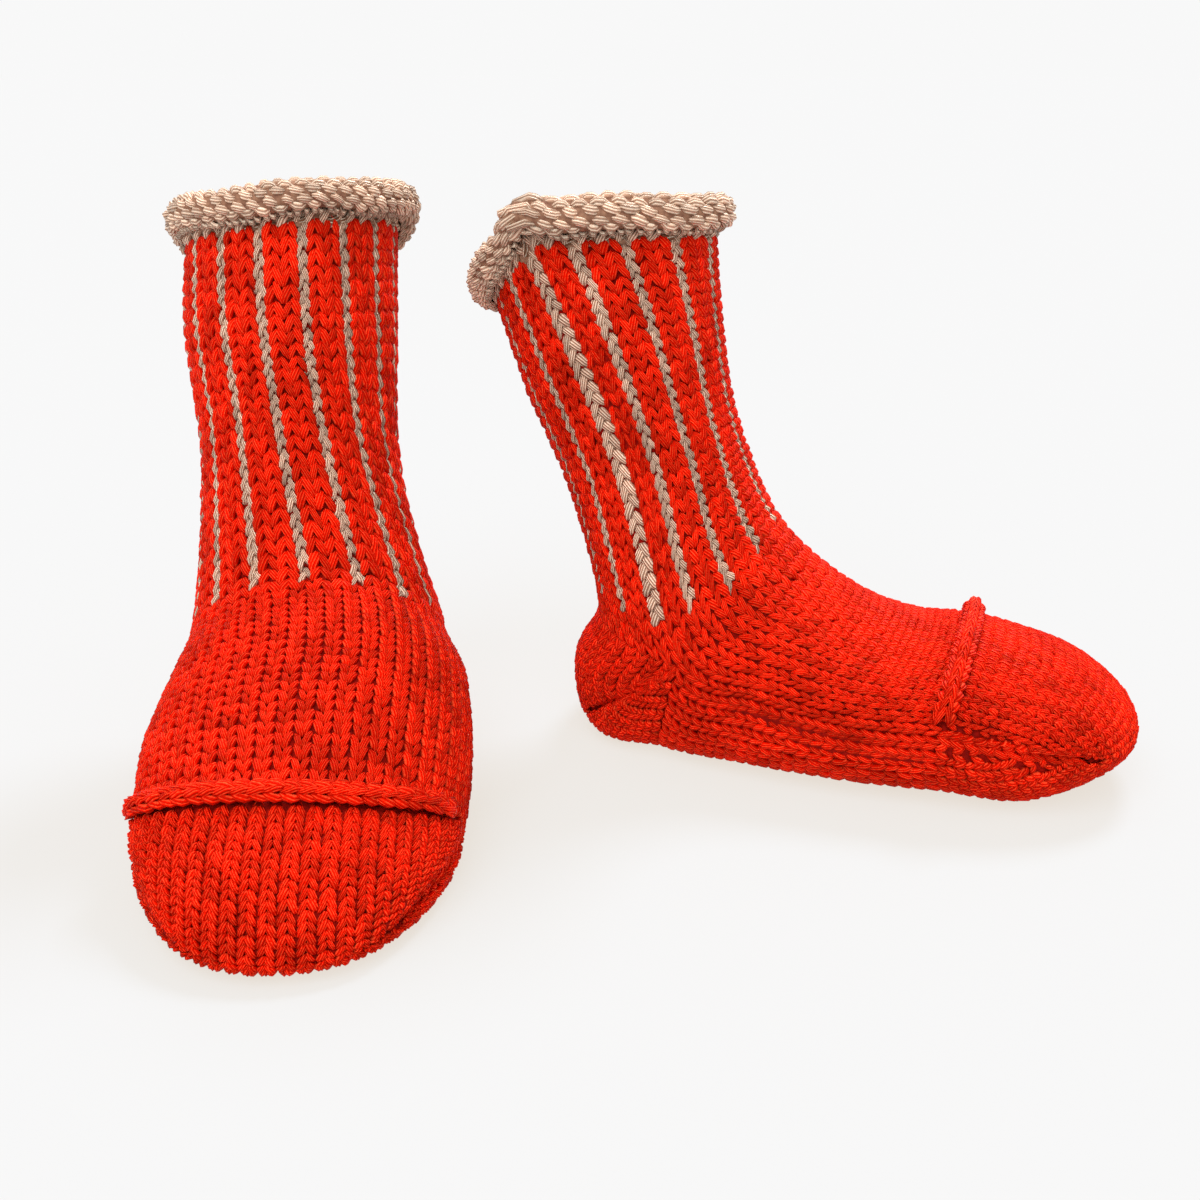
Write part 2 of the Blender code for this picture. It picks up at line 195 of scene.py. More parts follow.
@dataclass
class Fabric:
    """A stretch of knitting as a surface, read by wale, row and height over it.

    A closed fabric has all the wales round it. An open one is a pocket's side, and its rows grow
    shorter with the width of the pocket.
    """

    grid: np.ndarray
    rows: int
    closed: bool
    inside: np.ndarray
    normals: np.ndarray = field(init=False)
    halves: np.ndarray = field(init=False)
    width: float = field(init=False)

    def __post_init__(self) -> None:
        """Works out the outward ways, the width and how many wales each row has."""
        down = np.gradient(self.grid, axis=0)
        if self.closed:
            across = np.roll(self.grid, -1, axis=1) - np.roll(self.grid, 1, axis=1)
        else:
            across = np.gradient(self.grid, axis=1)
        normals = unit(np.cross(across, down))
        if np.sum(normals * (self.grid - self.inside)) < 0:
            normals = -normals
        self.normals = normals
        lengths = np.linalg.norm(np.diff(self.grid, axis=1), axis=2).sum(axis=1)
        self.width = lengths.max()
        self.halves = HALF_WALES / 2 * lengths / self.width

    def half_wales(self, row: np.ndarray) -> np.ndarray:
        """Half the number of wales in an open fabric's row."""
        return np.interp(row, np.linspace(0, self.rows, len(self.halves)), self.halves)

    def at(self, wale: np.ndarray, row: np.ndarray, height: np.ndarray) -> np.ndarray:
        """Places points on the fabric.

        Args:
            wale: along the row, a whole number at each wale's middle.
            row: down the knitting, from 0 to the number of rows.
            height: over the surface in metres, less than 0 inside it.

        Returns:
            The points.
        """
        lines, columns = self.grid.shape[:2]
        down = row / self.rows * (lines - 1)
        i = np.clip(np.floor(down).astype(int), 0, lines - 2)
        s = (down - i)[:, None]
        if self.closed:
            around = wale / WALES * columns
            j = np.floor(around).astype(int)
            t = (around - j)[:, None]
            j, k = j % columns, (j + 1) % columns
        else:
            share = 0.5 + (wale - HALF_WALES / 2) / (2 * self.half_wales(row))
            around = share * (columns - 1)
            j = np.clip(np.floor(around).astype(int), 0, columns - 2)
            t = np.clip((around - j)[:, None], -COLUMNS_PAST_EDGE, 1 + COLUMNS_PAST_EDGE)
            k = j + 1
        found = []
        for layer in (self.grid, self.normals):
            upper = layer[i, j] * (1 - t) + layer[i, k] * t
            lower = layer[i + 1, j] * (1 - t) + layer[i + 1, k] * t
            found.append(upper * (1 - s) + lower * s)
        return found[0] + unit(found[1]) * height[:, None]

    def halved(self) -> list["Fabric"]:
        """Cuts a closed fabric into two open ones, each with both its edges.

        Returns:
            Its front and its back.
        """
        front = self.grid[:, :HALF_COLUMNS + 1]
        back = np.concatenate([self.grid[:, HALF_COLUMNS:], self.grid[:, :1]], axis=1)
        return [Fabric(grid, self.rows, False, self.inside) for grid in (front, back)]

    def thinned(self, step: int) -> np.ndarray:
        """Takes some of the grid's lines and columns, and all its edges.

        Args:
            step: one line in this many is kept.

        Returns:
            The coarser grid.
        """
        lines = np.unique(np.append(np.arange(0, len(self.grid), step), len(self.grid) - 1))
        columns = np.arange(0, self.grid.shape[1], step)
        if not self.closed:
            columns = np.unique(np.append(columns, self.grid.shape[1] - 1))
        return self.grid[lines][:, columns]


@dataclass(frozen=True)
class Section:
    """A row of the knitting: its front, its sides, its half width, how far its middle sways and its
    left side rises, and the depth of the fold in its right side."""

    front_x: float
    front_z: float
    side_x: float
    side_z: float
    half_width: float
    sway: float = 0.0
    tilt: float = 0.0
    dent: float = 0.0


@dataclass(frozen=True)
class Outline:
    """A point of the middle line down the back and under the foot, and how square the row is there."""

    x: float
    z: float
    squareness: float


@dataclass(frozen=True)
class Pocket:
    """A short-row pocket, whose rows end on mitre lines that run from the side to this corner."""

    side_x: float
    side_z: float
    half_width: float
    before: Outline
    corner: Outline
    after: Outline

    def outlines(self) -> tuple[Outline, ...]:
        """Its points of the middle line, in order."""
        return (self.before, self.corner, self.after)


@dataclass(frozen=True)
class SockForm:
    """The outer surface of one sock, as in the CAD model."""

    name: str
    x: float
    y: float
    heading: float
    sections: tuple[Section, ...]
    back: tuple[Outline, ...]
    heel: Pocket
    sole: tuple[Outline, ...]
    toe: Pocket

    def place(self, points: np.ndarray) -> np.ndarray:
        """Puts points of the sock's own frame on the floor.

        Args:
            points: the points in mm.

        Returns:
            The points in metres.
        """
        heading = math.radians(self.heading)
        cosine, sine = math.cos(heading), math.sin(heading)
        placed = np.array(points, float)
        placed[:, :2] = placed[:, :2] @ np.array([[cosine, sine], [-sine, cosine]])
        placed[:, :2] += (self.x - PAIR_MIDDLE[0], self.y - PAIR_MIDDLE[1])
        return placed * MM

    def row(self, at: float) -> np.ndarray:
        """The table's row at a fraction of its index."""
        rows = np.array([astuple(section) for section in self.sections])
        return spline(np.arange(len(rows)), rows, at)

    def middle(self, index: float) -> np.ndarray:
        """Reads the middle line, which runs from the back of the cuff, round heel and toe, to the ridge.

        Args:
            index: the place, in points of the line.

        Returns:
            Its x, z and squareness.
        """
        ridge = Outline(self.sections[RIDGE].front_x, self.sections[RIDGE].front_z, ROUND)
        points = (*self.back, *self.heel.outlines(), *self.sole, *self.toe.outlines(), ridge)
        line = np.array([astuple(point) for point in points])
        steps = np.linalg.norm(np.diff(line[:, :2], axis=0), axis=1)
        knots = np.concatenate([[0], np.cumsum(np.sqrt(steps))])
        return spline(knots, line, np.interp(index, np.arange(len(line)), knots))

    def front(self, at: float, shares: np.ndarray = EVENLY) -> np.ndarray:
        """The front half of a row, from the right side over the top to the left."""
        row = self.row(at)
        return self.place(half_ring(row[2:], row[:2], ROUND, shares))

    def under(self, at: float, index: float) -> np.ndarray:
        """The back or sole half of a row, its tip on the middle line."""
        tip = self.middle(index)
        return self.place(half_ring(self.row(at)[2:], tip[:2], tip[2], EVENLY))

    def ring(self, at: float, index: float) -> np.ndarray:
        """A whole row, its front half first."""
        return np.concatenate([self.front(at)[:-1], self.under(at, index)[:0:-1]])

    def short_row(self, pocket: Pocket, at: float, depth: float, index: float,
                  shares: np.ndarray = EVENLY) -> np.ndarray:
        """Makes a row of a pocket.

        Args:
            pocket: the heel or the toe.
            at: the table's row at the pocket's opening.
            depth: 0 at the opening to 1 at the corner.
            index: where the row's tip lies on the middle line.
            shares: where the points lie along its run.

        Returns:
            The row's points.
        """
        opening = self.row(at)[2:]
        corner = np.array([pocket.side_x, pocket.side_z, pocket.half_width, opening[3], 0.0, 0.0])
        centre = opening + (corner - opening) * depth
        centre[2] = opening[2] + (pocket.half_width - opening[2]) * depth**2
        tip = self.middle(index)
        return self.place(half_ring(centre, tip[:2], tip[2], shares))

    def tube(self, start: int, end: int, shift: int, rows: int) -> Fabric:
        """Makes a stretch of the sock that goes all round.

        Args:
            start: its first place in the table of rows.
            end: its last.
            shift: how much further along the middle line its back half lies.
            rows: how many rows of stitches it holds.

        Returns:
            The surface.
        """
        grid = woven([self.ring(at, at + shift) for at in np.linspace(start, end, TUBE_RINGS)], rows)
        return Fabric(grid, rows, True, grid.mean(axis=1, keepdims=True))

    def sides(self, pocket: Pocket, at: int, run: tuple[int, int, int], rows: int) -> list[Fabric]:
        """Makes a pocket's two sides, knitted down to its corner and on from there.

        Args:
            pocket: the heel or the toe.
            at: the table's row at its opening.
            run: where it starts, turns and ends on the middle line.
            rows: how many rows of stitches each side holds.

        Returns:
            Both surfaces.
        """
        start, corner, end = run
        depths = np.linspace(0, 1, POCKET_RINGS)
        first = [self.short_row(pocket, at, depth, start + depth * (corner - start)) for depth in depths]
        second = [self.short_row(pocket, at, depth, end - depth * (end - corner)) for depth in depths[::-1]]
        middle = np.concatenate([first, second]).reshape(-1, 3).mean(axis=0)
        inside = np.broadcast_to(middle, (1, 1, 3))
        return [Fabric(woven(rings, rows), rows, False, inside) for rings in (first, second)]


@dataclass(frozen=True)
class Arm:
    """One arm of a stitch: a short, thick bow of yarn that leans away from its wale's middle.

    Places and sizes along the cloth are in wales and rows.
    """

    start_out: float = -0.04
    end_out: float = 0.54
    half_length: float = 0.74
    half_width: float = 0.235
    thickness: float = 0.95 * MM
    sink: float = 0.50 * MM
    tilt: float = 0.22 * MM
    lift: float = 0.0
    bow: float = 0.02
    slant: float = 0.80
    stagger: float = 0.0


@dataclass(frozen=True)
class Purl:
    """The back of a stitch: an arch of yarn across its wale, in wales and rows."""

    half_length: float = 0.54
    half_width: float = 0.56
    arch: float = 0.28
    slant: float = 0.26
    thickness: float = 1.05 * MM
    sink: float = 0.45 * MM


@dataclass(frozen=True)
class Unevenness:
    """How much hand-knitted stitches differ in width, length, place, height and slant."""

    width: float
    length: float
    wale: float
    row: float
    height: float
    slant: float = 0.0


RIB = Arm()
PLAIN = Arm(start_out=0.05, end_out=0.47, half_length=0.78, half_width=0.222, thickness=1.0 * MM,
            sink=0.42 * MM, tilt=0.15 * MM, bow=0.03, slant=0.55)
BRAID = Arm(start_out=-0.20, end_out=0.62, half_length=0.74, half_width=0.30, thickness=1.0 * MM,
            sink=1.00 * MM, tilt=0.42 * MM, lift=0.35 * MM, slant=0.35, stagger=0.22)
MITRE = Arm(thickness=1.1 * MM, half_width=0.32, lift=-0.35 * MM, slant=0.6)
CHAIN = Arm(start_out=0.0, end_out=0.50, half_length=0.80, half_width=0.27, thickness=1.0 * MM, sink=0.6 * MM,
            slant=0.6)
BUMP = Purl()
EDGE_LOOP = Purl(half_length=0.27, half_width=0.26, arch=0.65, thickness=0.6 * MM)
ARMS_DIFFER = Unevenness(width=0.12, length=0.07, wale=0.02, row=0.07, height=0.06 * MM)
PURLS_DIFFER = Unevenness(width=0.10, length=0.08, wale=0.05, row=0.06, height=0.10 * MM, slant=0.08)


def select_only(piece: bpy.types.Object) -> None:
    """Selects one object and makes it active.

    Args:
        piece: the object.
    """
    bpy.ops.object.select_all(action="DESELECT")
    piece.select_set(True)
    bpy.context.view_layer.objects.active = piece


@contextmanager
def editing(piece: bpy.types.Object) -> Iterator[None]:
    """Edits one object with its whole mesh selected.

    Args:
        piece: the object.

    Yields:
        Nothing, while the object is in edit mode.
    """
    select_only(piece)
    bpy.ops.object.mode_set(mode="EDIT")
    bpy.ops.mesh.select_all(action="SELECT")
    yield
    bpy.ops.object.mode_set(mode="OBJECT")


class Bow:
    """The yarn's bow, modelled once and copied for each arm and bump."""

    def __init__(self, segments: int = 6, rings: int = 5, bluntness: float = 0.9) -> None:
        """Models the bow as a ball with blunt ends, which each copy draws long.

        Args:
            segments: its sides round.
            rings: its faces from end to end.
            bluntness: 1 for a ball's ends, less for blunter ones.
        """
        bpy.ops.object.select_all(action="DESELECT")
        bpy.ops.mesh.primitive_uv_sphere_add(segments=segments, ring_count=rings, radius=1.0)
        made = bpy.context.object
        with editing(made):
            bpy.ops.mesh.quads_convert_to_tris(quad_method="BEAUTY", ngon_method="BEAUTY")
            bpy.ops.mesh.normals_make_consistent(inside=False)
        mesh = made.data
        points = np.zeros(len(mesh.vertices) * 3)
        mesh.vertices.foreach_get("co", points)
        faces = np.zeros(len(mesh.polygons) * 3, dtype=int)
        mesh.polygons.foreach_get("vertices", faces)
        faces = faces.reshape(-1, 3)
        # Cutting quads lists the triangles in another order each run, so they are sorted.
        turns = (faces.argmin(axis=1)[:, None] + np.arange(3)) % 3
        faces = np.take_along_axis(faces, turns, axis=1)
        self.faces = faces[np.lexsort(faces.T[::-1])]
        across, up, along = points.reshape(-1, 3).T
        self.axes = np.stack([np.sign(along) * np.abs(along)**bluntness, across, up])
        self.size = len(along)
        bpy.data.objects.remove(made, do_unlink=True)
        bpy.data.meshes.remove(mesh)


class Knitting:
    """Collects the stitches of one piece and makes its mesh."""

    def __init__(self, seed: int, bow: Bow) -> None:
        """Starts an empty piece.

        Args:
            seed: where its random draws start.
            bow: the yarn's bow.
        """
        self.random = np.random.default_rng(seed)
        self.bow = bow
        self.points: list[np.ndarray] = []
        self.shades: list[np.ndarray] = []

    def draw(self, copies: int) -> tuple[np.ndarray, np.ndarray]:
        """Draws the unevenness of some copies of the bow, and notes their shades.

        Args:
            copies: how many there are.

        Returns:
            Each of the bow's axes, and each chance, for every point of every copy.
        """
        chances = self.random.normal(size=(copies, 6))
        self.shades.append(chances[:, -1])
        return np.tile(self.bow.axes, (1, copies)), np.repeat(chances, self.bow.size, axis=0).T

    def arms(self, fabric: Fabric, wales: np.ndarray, rows: np.ndarray, arm: Arm,
             place: Placing | None = None, lifts: np.ndarray | float = 0.0) -> None:
        """Lays both arms of each stitch on the fabric.

        Args:
            fabric: what they lie on.
            wales: the wale of each stitch.
            rows: the row of each stitch.
            arm: the arm's shape.
            place: turns wales and rows into the fabric's own wales, or nothing.
            lifts: how far each stitch lies over the surface.
        """
        if not len(wales):
            return
        copies, differ = len(wales), ARMS_DIFFER
        lifts = np.broadcast_to(lifts, wales.shape)
        wales, rows, lifts = (np.repeat(values, self.bow.size) for values in (wales, rows, lifts))
        for side in (-1, 1):
            (along, across, up), chances = self.draw(copies)
            width = arm.half_width * (1 + differ.width * chances[0])
            length = arm.half_length * (1 + differ.length * chances[1])
            out = (arm.start_out + arm.end_out) / 2 + along * (arm.end_out - arm.start_out) / 2
            out = out + arm.bow * (1 - along**2) + differ.wale * chances[2]
            wale = wales + side * out + across * width
            row = rows + 0.5 + along * length + differ.row * chances[3]
            row = row - side * (across * width * arm.slant + arm.stagger)
            height = arm.lift + lifts - arm.thickness * (1 - up) - arm.sink * along**2 + arm.tilt * along
            height = height + differ.height * chances[4]
            if place is not None:
                wale = place(wale, row)
            self.points.append(fabric.at(wale, row, height))

    def purls(self, fabric: Fabric, wales: np.ndarray, at: float, turn: int, purl: Purl) -> None:
        """Lays a row of the bumps that the stitches' backs make.

        Args:
            fabric: what they lie on.
            wales: the middle of each bump.
            at: their row.
            turn: 1 where the arch's ends point down the knitting, -1 where they point up.
            purl: the bump's shape.
        """
        differ = PURLS_DIFFER
        (along, across, up), chances = self.draw(len(wales))
        wale = np.repeat(wales, self.bow.size) + differ.wale * chances[1]
        wale = wale + along * purl.half_length * (1 + differ.length * chances[0])
        row = at + turn * purl.arch * along**2 + across * purl.half_width * (1 + differ.width * chances[2])
        row = row + (purl.slant + differ.slant * chances[5]) * along + differ.row * chances[3]
        height = differ.height * chances[4] - purl.thickness * (1 - up) - purl.sink * along**2
        self.points.append(fabric.at(wale, row, height))

    def short_rows(self, sides: list[Fabric], tuck: float = 0.0, hole_width: float = 0.0) -> None:
        """Lays the stitches of a pocket's two sides, and a column of them over each mitre between.

        Args:
            sides: the rows down to the corner and the rows on from there.
            tuck: how deep the crease is at the far side's end.
            hole_width: how wide a hole each turn of the rows leaves beside the mitre, in wales.
        """
        for side in sides:
            wale, row = patch_of(np.arange(HALF_WALES + 1), np.arange(side.rows))
            margin = side.half_wales(row + 0.5) - np.abs(wale - HALF_WALES / 2)
            kept = (margin >= LEAST_MARGIN) & ((row % 2 == 0) | (margin >= hole_width))
            lifts = tucked(wale, side.rows - row - 0.5, tuck if side is sides[1] else 0.0)
            self.arms(side, wale[kept], row[kept], PLAIN, lifts=lifts[kept])
        before, after = sides[0].grid, sides[1].grid[::-1]
        for edge, inner in ((0, MITRE_COLUMNS), (-1, -1 - MITRE_COLUMNS)):
            band = np.stack([before[:, inner], before[:, edge], after[:, inner]], axis=1)
            length = np.linalg.norm(np.diff(band[:, 1], axis=0), axis=1).sum()
            count = max(LEAST_MITRE, round(length / MITRE_PITCH))
            mitre = Fabric(band, count, False, sides[0].inside)
            mitre.halves[:] = 0.5
            self.arms(mitre, np.full(count, HALF_WALES / 2), np.arange(count), MITRE)

    def piece(self, name: str, material: bpy.types.Material) -> bpy.types.Object:
        """Makes the mesh of all that was laid.

        Args:
            name: the piece's name.
            material: its yarn.

        Returns:
            The finished piece.
        """
        shades, points = np.concatenate(self.shades), np.concatenate(self.points)
        points[:, 2] = np.maximum(points[:, 2], FLOOR_GAP)
        starts = np.arange(len(shades)) * self.bow.size
        corners = (self.bow.faces + starts[:, None, None]).ravel()
        along, across, up = np.tile(self.bow.axes * 0.5 + 0.5, (1, len(shades)))
        mesh = bpy.data.meshes.new(name)
        mesh.vertices.add(len(points))
        mesh.vertices.foreach_set("co", points.ravel())
        mesh.loops.add(len(corners))
        mesh.loops.foreach_set("vertex_index", corners)
        mesh.polygons.add(len(corners) // 3)
        mesh.polygons.foreach_set("loop_start", np.arange(0, len(corners), 3))
        mesh.update(calc_edges=True)
        layer = mesh.uv_layers.new(name="yarn")
        layer.data.foreach_set("uv", np.stack([across, along], axis=1)[corners].ravel())
        # The first channel is each point's height on its bow, which the yarns turn into painted shade low on
        # the bow; the second is a random tint for each stitch.
        colours = np.ones((len(points), 4))
        colours[:, 0] = up
        colours[:, 1] = np.clip(0.5 + SHADE_SPREAD * np.repeat(shades, self.bow.size), 0, 1)
        attribute = mesh.color_attributes.new(name="shade", type="FLOAT_COLOR", domain="POINT")
        attribute.data.foreach_set("color", colours.ravel())
        mesh.materials.append(material)
        mesh.validate()
        mesh.shade_smooth()
        made = bpy.data.objects.new(name, mesh)
        bpy.context.collection.objects.link(made)
        return made


class Paint:
    """A material in the making: its shader and the nodes that feed it."""

    def __init__(self, name: str, values: dict[str, object]) -> None:
        """Starts with the shader alone.

        Args:
            name: the material's name.
            values: what is the same all over, by the shader's sockets.
        """
        self.material = bpy.data.materials.new(name)
        self.material.use_nodes = True
        self.tree = self.material.node_tree
        self.shader = self.tree.nodes["Principled BSDF"]
        self.feed(self.shader, values)

    def feed(self, node: bpy.types.Node, values: dict[str | int, object]) -> None:
        """Sets a node's inputs.

        Args:
            node: the node.
            values: a value or another node's output for each input.
        """
        for socket, value in values.items():
            if isinstance(value, bpy.types.NodeSocket):
                self.tree.links.new(value, node.inputs[socket])
            else:
                node.inputs[socket].default_value = value

    def add(self, kind: str, output: str, values: dict[str | int, object] | None = None,
            **settings: object) -> bpy.types.NodeSocket:
        """Adds a node.

        Args:
            kind: its type.
            output: the name of the output that is wanted.
            values: what its inputs get.
            settings: its own settings.

        Returns:
            That output.
        """
        made = self.tree.nodes.new("ShaderNode" + kind)
        for name, value in settings.items():
            setattr(made, name, value)
        self.feed(made, values or {})
        return made.outputs[output]

    def ramp(self, value: bpy.types.NodeSocket, read: tuple[float, float],
             given: tuple[float, float] = (0.0, 1.0)) -> bpy.types.NodeSocket:
        """Turns one range of values into another.

        Args:
            value: what is read.
            read: the range of it that counts.
            given: what its two ends become.

        Returns:
            The new value.
        """
        ends = {"From Min": read[0], "From Max": read[1], "To Min": given[0], "To Max": given[1]}
        return self.add("MapRange", "Result", {"Value": value, **ends})

    def mix(self, share: bpy.types.NodeSocket, first: Colour | bpy.types.NodeSocket,
            second: Colour) -> bpy.types.NodeSocket:
        """Mixes two colours.

        Args:
            share: how much of the second one shows.
            first: a colour or another node's output.
            second: a colour.

        Returns:
            The mixed colour.
        """
        first = (*first, 1.0) if isinstance(first, tuple) else first
        return self.add("Mix", "Result", {"Factor": share, "A": first, "B": (*second, 1.0)}, data_type="RGBA")

    def dress(self, colour: bpy.types.NodeSocket, height: bpy.types.NodeSocket, strength: float, depth: float,
              invert: bool = False) -> bpy.types.Material:
        """Gives the shader its colour and relief.

        Args:
            colour: the colour.
            height: the relief's height, from 0 to 1.
            strength: how much of the relief shows.
            depth: how deep it is, in metres.
            invert: whether it goes inwards.

        Returns:
            The finished material.
        """
        values = {"Height": height, "Strength": strength, "Distance": depth}
        bump = self.add("Bump", "Normal", values, invert=invert)
        self.feed(self.shader, {"Base Color": colour, "Normal": bump})
        return self.material


@dataclass(frozen=True)
class YarnFinish:
    """A yarn's look: its lit colour, the painted shade deep between the stitches, the colour of its painted
    glints, its gloss and its strands.
    """

    name: str
    lit: Colour
    # Painted shade: the colour low on each bow, deep between the stitches.
    deep: Colour
    # Painted highlight: the glints' colour, mixed into the base colour; it also tints the reflections.
    glint: Colour
    roughness: float
    strand_depth: float
    # How much painted shade darkens each groove between the strands.
    groove: float
    gloss: float
    strand_lean: float = math.radians(-14)
    strand_stretch: tuple[float, float, float] = (2.6, 0.7, 1.0)
    strand_waves: tuple[tuple[str, float], ...] = (("Scale", 0.50), ("Distortion", 1.4), ("Detail", 2.0),
                                                   ("Detail Scale", 1.5))
    fibre_scale: float = 2600.0
    fibre_detail: float = 3.0
    fibre_height: float = 0.45
    blotch_scale: float = 90.0
    blotch_detail: float = 2.0
    # Where the painted shade low on a bow gives way to the lit colour, by the bow's height.
    lit_heights: tuple[float, float] = (0.15, 0.85)
    # Where the painted glints start and end on the strands' pattern, and how much of the glint colour they
    # show.
    painted_glints: tuple[float, float] = (0.30, 0.54)
    painted_glint_strength: float = 0.70
    # Where the painted shade in each groove between the strands fades out.
    groove_reach: tuple[float, float] = (0.05, 0.45)
    tones: tuple[float, float] = (0.65, 1.35)
    brightness: tuple[float, float] = (0.72, 1.20)
    relief: float = 0.80

    def material(self) -> bpy.types.Material:
        """Builds the yarn's material: strands along each bow, painted shade low on the bows and in each
        groove between the strands, and painted glints along the strands.

        Returns:
            The material.
        """
        paint = Paint(self.name, {"Roughness": self.roughness, "Specular IOR Level": self.gloss,
                                  "Specular Tint": (*self.glint, 1.0)})
        uv = paint.add("UVMap", "UV", uv_map="yarn")
        turn = {"Vector": uv, "Rotation": (0.0, 0.0, self.strand_lean), "Scale": self.strand_stretch}
        turned = paint.add("Mapping", "Vector", turn)
        strands = paint.add("TexWave", "Fac", {"Vector": turned, **dict(self.strand_waves)})
        place = paint.add("TexCoord", "Object")
        fine = {"Vector": place, "Scale": self.fibre_scale, "Detail": self.fibre_detail}
        fibres = paint.add("TexNoise", "Fac", fine)
        coarse = {"Vector": place, "Scale": self.blotch_scale, "Detail": self.blotch_detail}
        blotches = paint.add("TexNoise", "Fac", coarse)
        shade = paint.add("VertexColor", "Color", layer_name="shade")
        height = paint.add("SeparateColor", "Red", {"Color": shade})
        chance = height.node.outputs["Green"]
        # Painted shade: the deep colour where a bow's points lie low, the lit colour on its top.
        body = paint.mix(paint.ramp(height, self.lit_heights), self.deep, self.lit)
        # Painted shade: the deep colour in each groove between the strands.
        groove_shade = paint.ramp(strands, self.groove_reach, (self.groove, 0.0))
        # Painted highlight: glint colour mixed into the base colour where strands and fibres are high.
        glints = paint.add("Math", "Value", {0: strands, 1: fibres}, operation="MULTIPLY")
        painted_glints = paint.ramp(glints, self.painted_glints, (0.0, self.painted_glint_strength))
        lit = paint.mix(painted_glints, paint.mix(groove_shade, body, self.deep), self.glint)
        tint = paint.add("Math", "Value", {0: chance, 1: blotches}, operation="ADD")
        bright = paint.ramp(tint, self.tones, self.brightness)
        toned = paint.add("HueSaturation", "Color", {"Value": bright, "Color": lit})
        raised = {0: fibres, 1: self.fibre_height, 2: strands}
        relief = paint.add("Math", "Value", raised, operation="MULTIPLY_ADD")
        return paint.dress(toned, relief, self.relief, self.strand_depth)


@dataclass(frozen=True)
class BackingFinish:
    """The look of the cloth's inner side, the backs of the stitches: the yarn's colour darkened as painted
    shade, and darker still as painted shade in the hollows between its bumps.
    """

    name: str
    colour: Colour
    dark: Colour
    bumps: float = 900.0
    bump_depth: float = 0.4 * MM
    roughness: float = 0.85
    gloss: float = 0.1
    relief: float = 0.8

    def material(self) -> bpy.types.Material:
        """Builds the backing's material, uneven like the wrong side of knitting, with painted shade in the
        hollows between the bumps.

        Returns:
            The material.
        """
        paint = Paint(self.name, {"Roughness": self.roughness, "Specular IOR Level": self.gloss})
        place = paint.add("TexCoord", "Object")
        cells = paint.add("TexVoronoi", "Distance", {"Vector": place, "Scale": self.bumps})
        # Painted shade: darker towards the cells' edges, where the bumps dip.
        recess_shade = paint.mix(cells, self.colour, self.dark)
        return paint.dress(recess_shade, cells, self.relief, self.bump_depth, invert=True)


def surface(name: str, grids: list[np.ndarray], closed: bool) -> bpy.types.Object:
    """Makes one open sheet from grids of points.

    Args:
        name: the sheet's name.
        grids: rows of points, which meet at shared edges.
        closed: whether each row goes all round.

    Returns:
        The sheet, its doubles merged.
    """
    made = []
    for points in grids:
        if closed:
            points = np.concatenate([points, points[:, :1]], axis=1)
        lines, columns = points.shape[:2]
        bpy.ops.object.select_all(action="DESELECT")
        bpy.ops.mesh.primitive_grid_add(x_subdivisions=columns - 1, y_subdivisions=lines - 1, size=1)
        patch = bpy.context.object
        patch.data.vertices.foreach_set("co", points.reshape(-1))
        made.append(patch)
    select_only(made[0])
    for patch in made:
        patch.select_set(True)
    if len(made) > 1:
        bpy.ops.object.join()
    sheet = bpy.context.object
    sheet.name = name
    sheet.data.name = name
    with editing(sheet):
        bpy.ops.mesh.remove_doubles(threshold=MERGE_DISTANCE)
        bpy.ops.mesh.normals_make_consistent(inside=False)
    return sheet


def face_out(sheet: bpy.types.Object, inside: np.ndarray) -> None:
    """Turns a sheet's faces over where most of them look inwards.

    Args:
        sheet: the sheet.
        inside: a point inside it.
    """
    outwards = 0.0
    for face in sheet.data.polygons:
        outwards += face.area * float(np.dot(np.array(face.normal), np.array(face.center) - inside))
    if outwards <= 0:
        with editing(sheet):
            bpy.ops.mesh.flip_normals()


def thicken(sheet: bpy.types.Object, thickness: float) -> None:
    """Gives a sheet a wall on its inner side.

    Args:
        sheet: the sheet.
        thickness: the wall's thickness.
    """
    select_only(sheet)
    wall = sheet.modifiers.new("wall", "SOLIDIFY")
    wall.thickness = thickness
    wall.offset = -1.0
    bpy.ops.object.modifier_apply(modifier=wall.name)
    bpy.ops.object.shade_smooth()


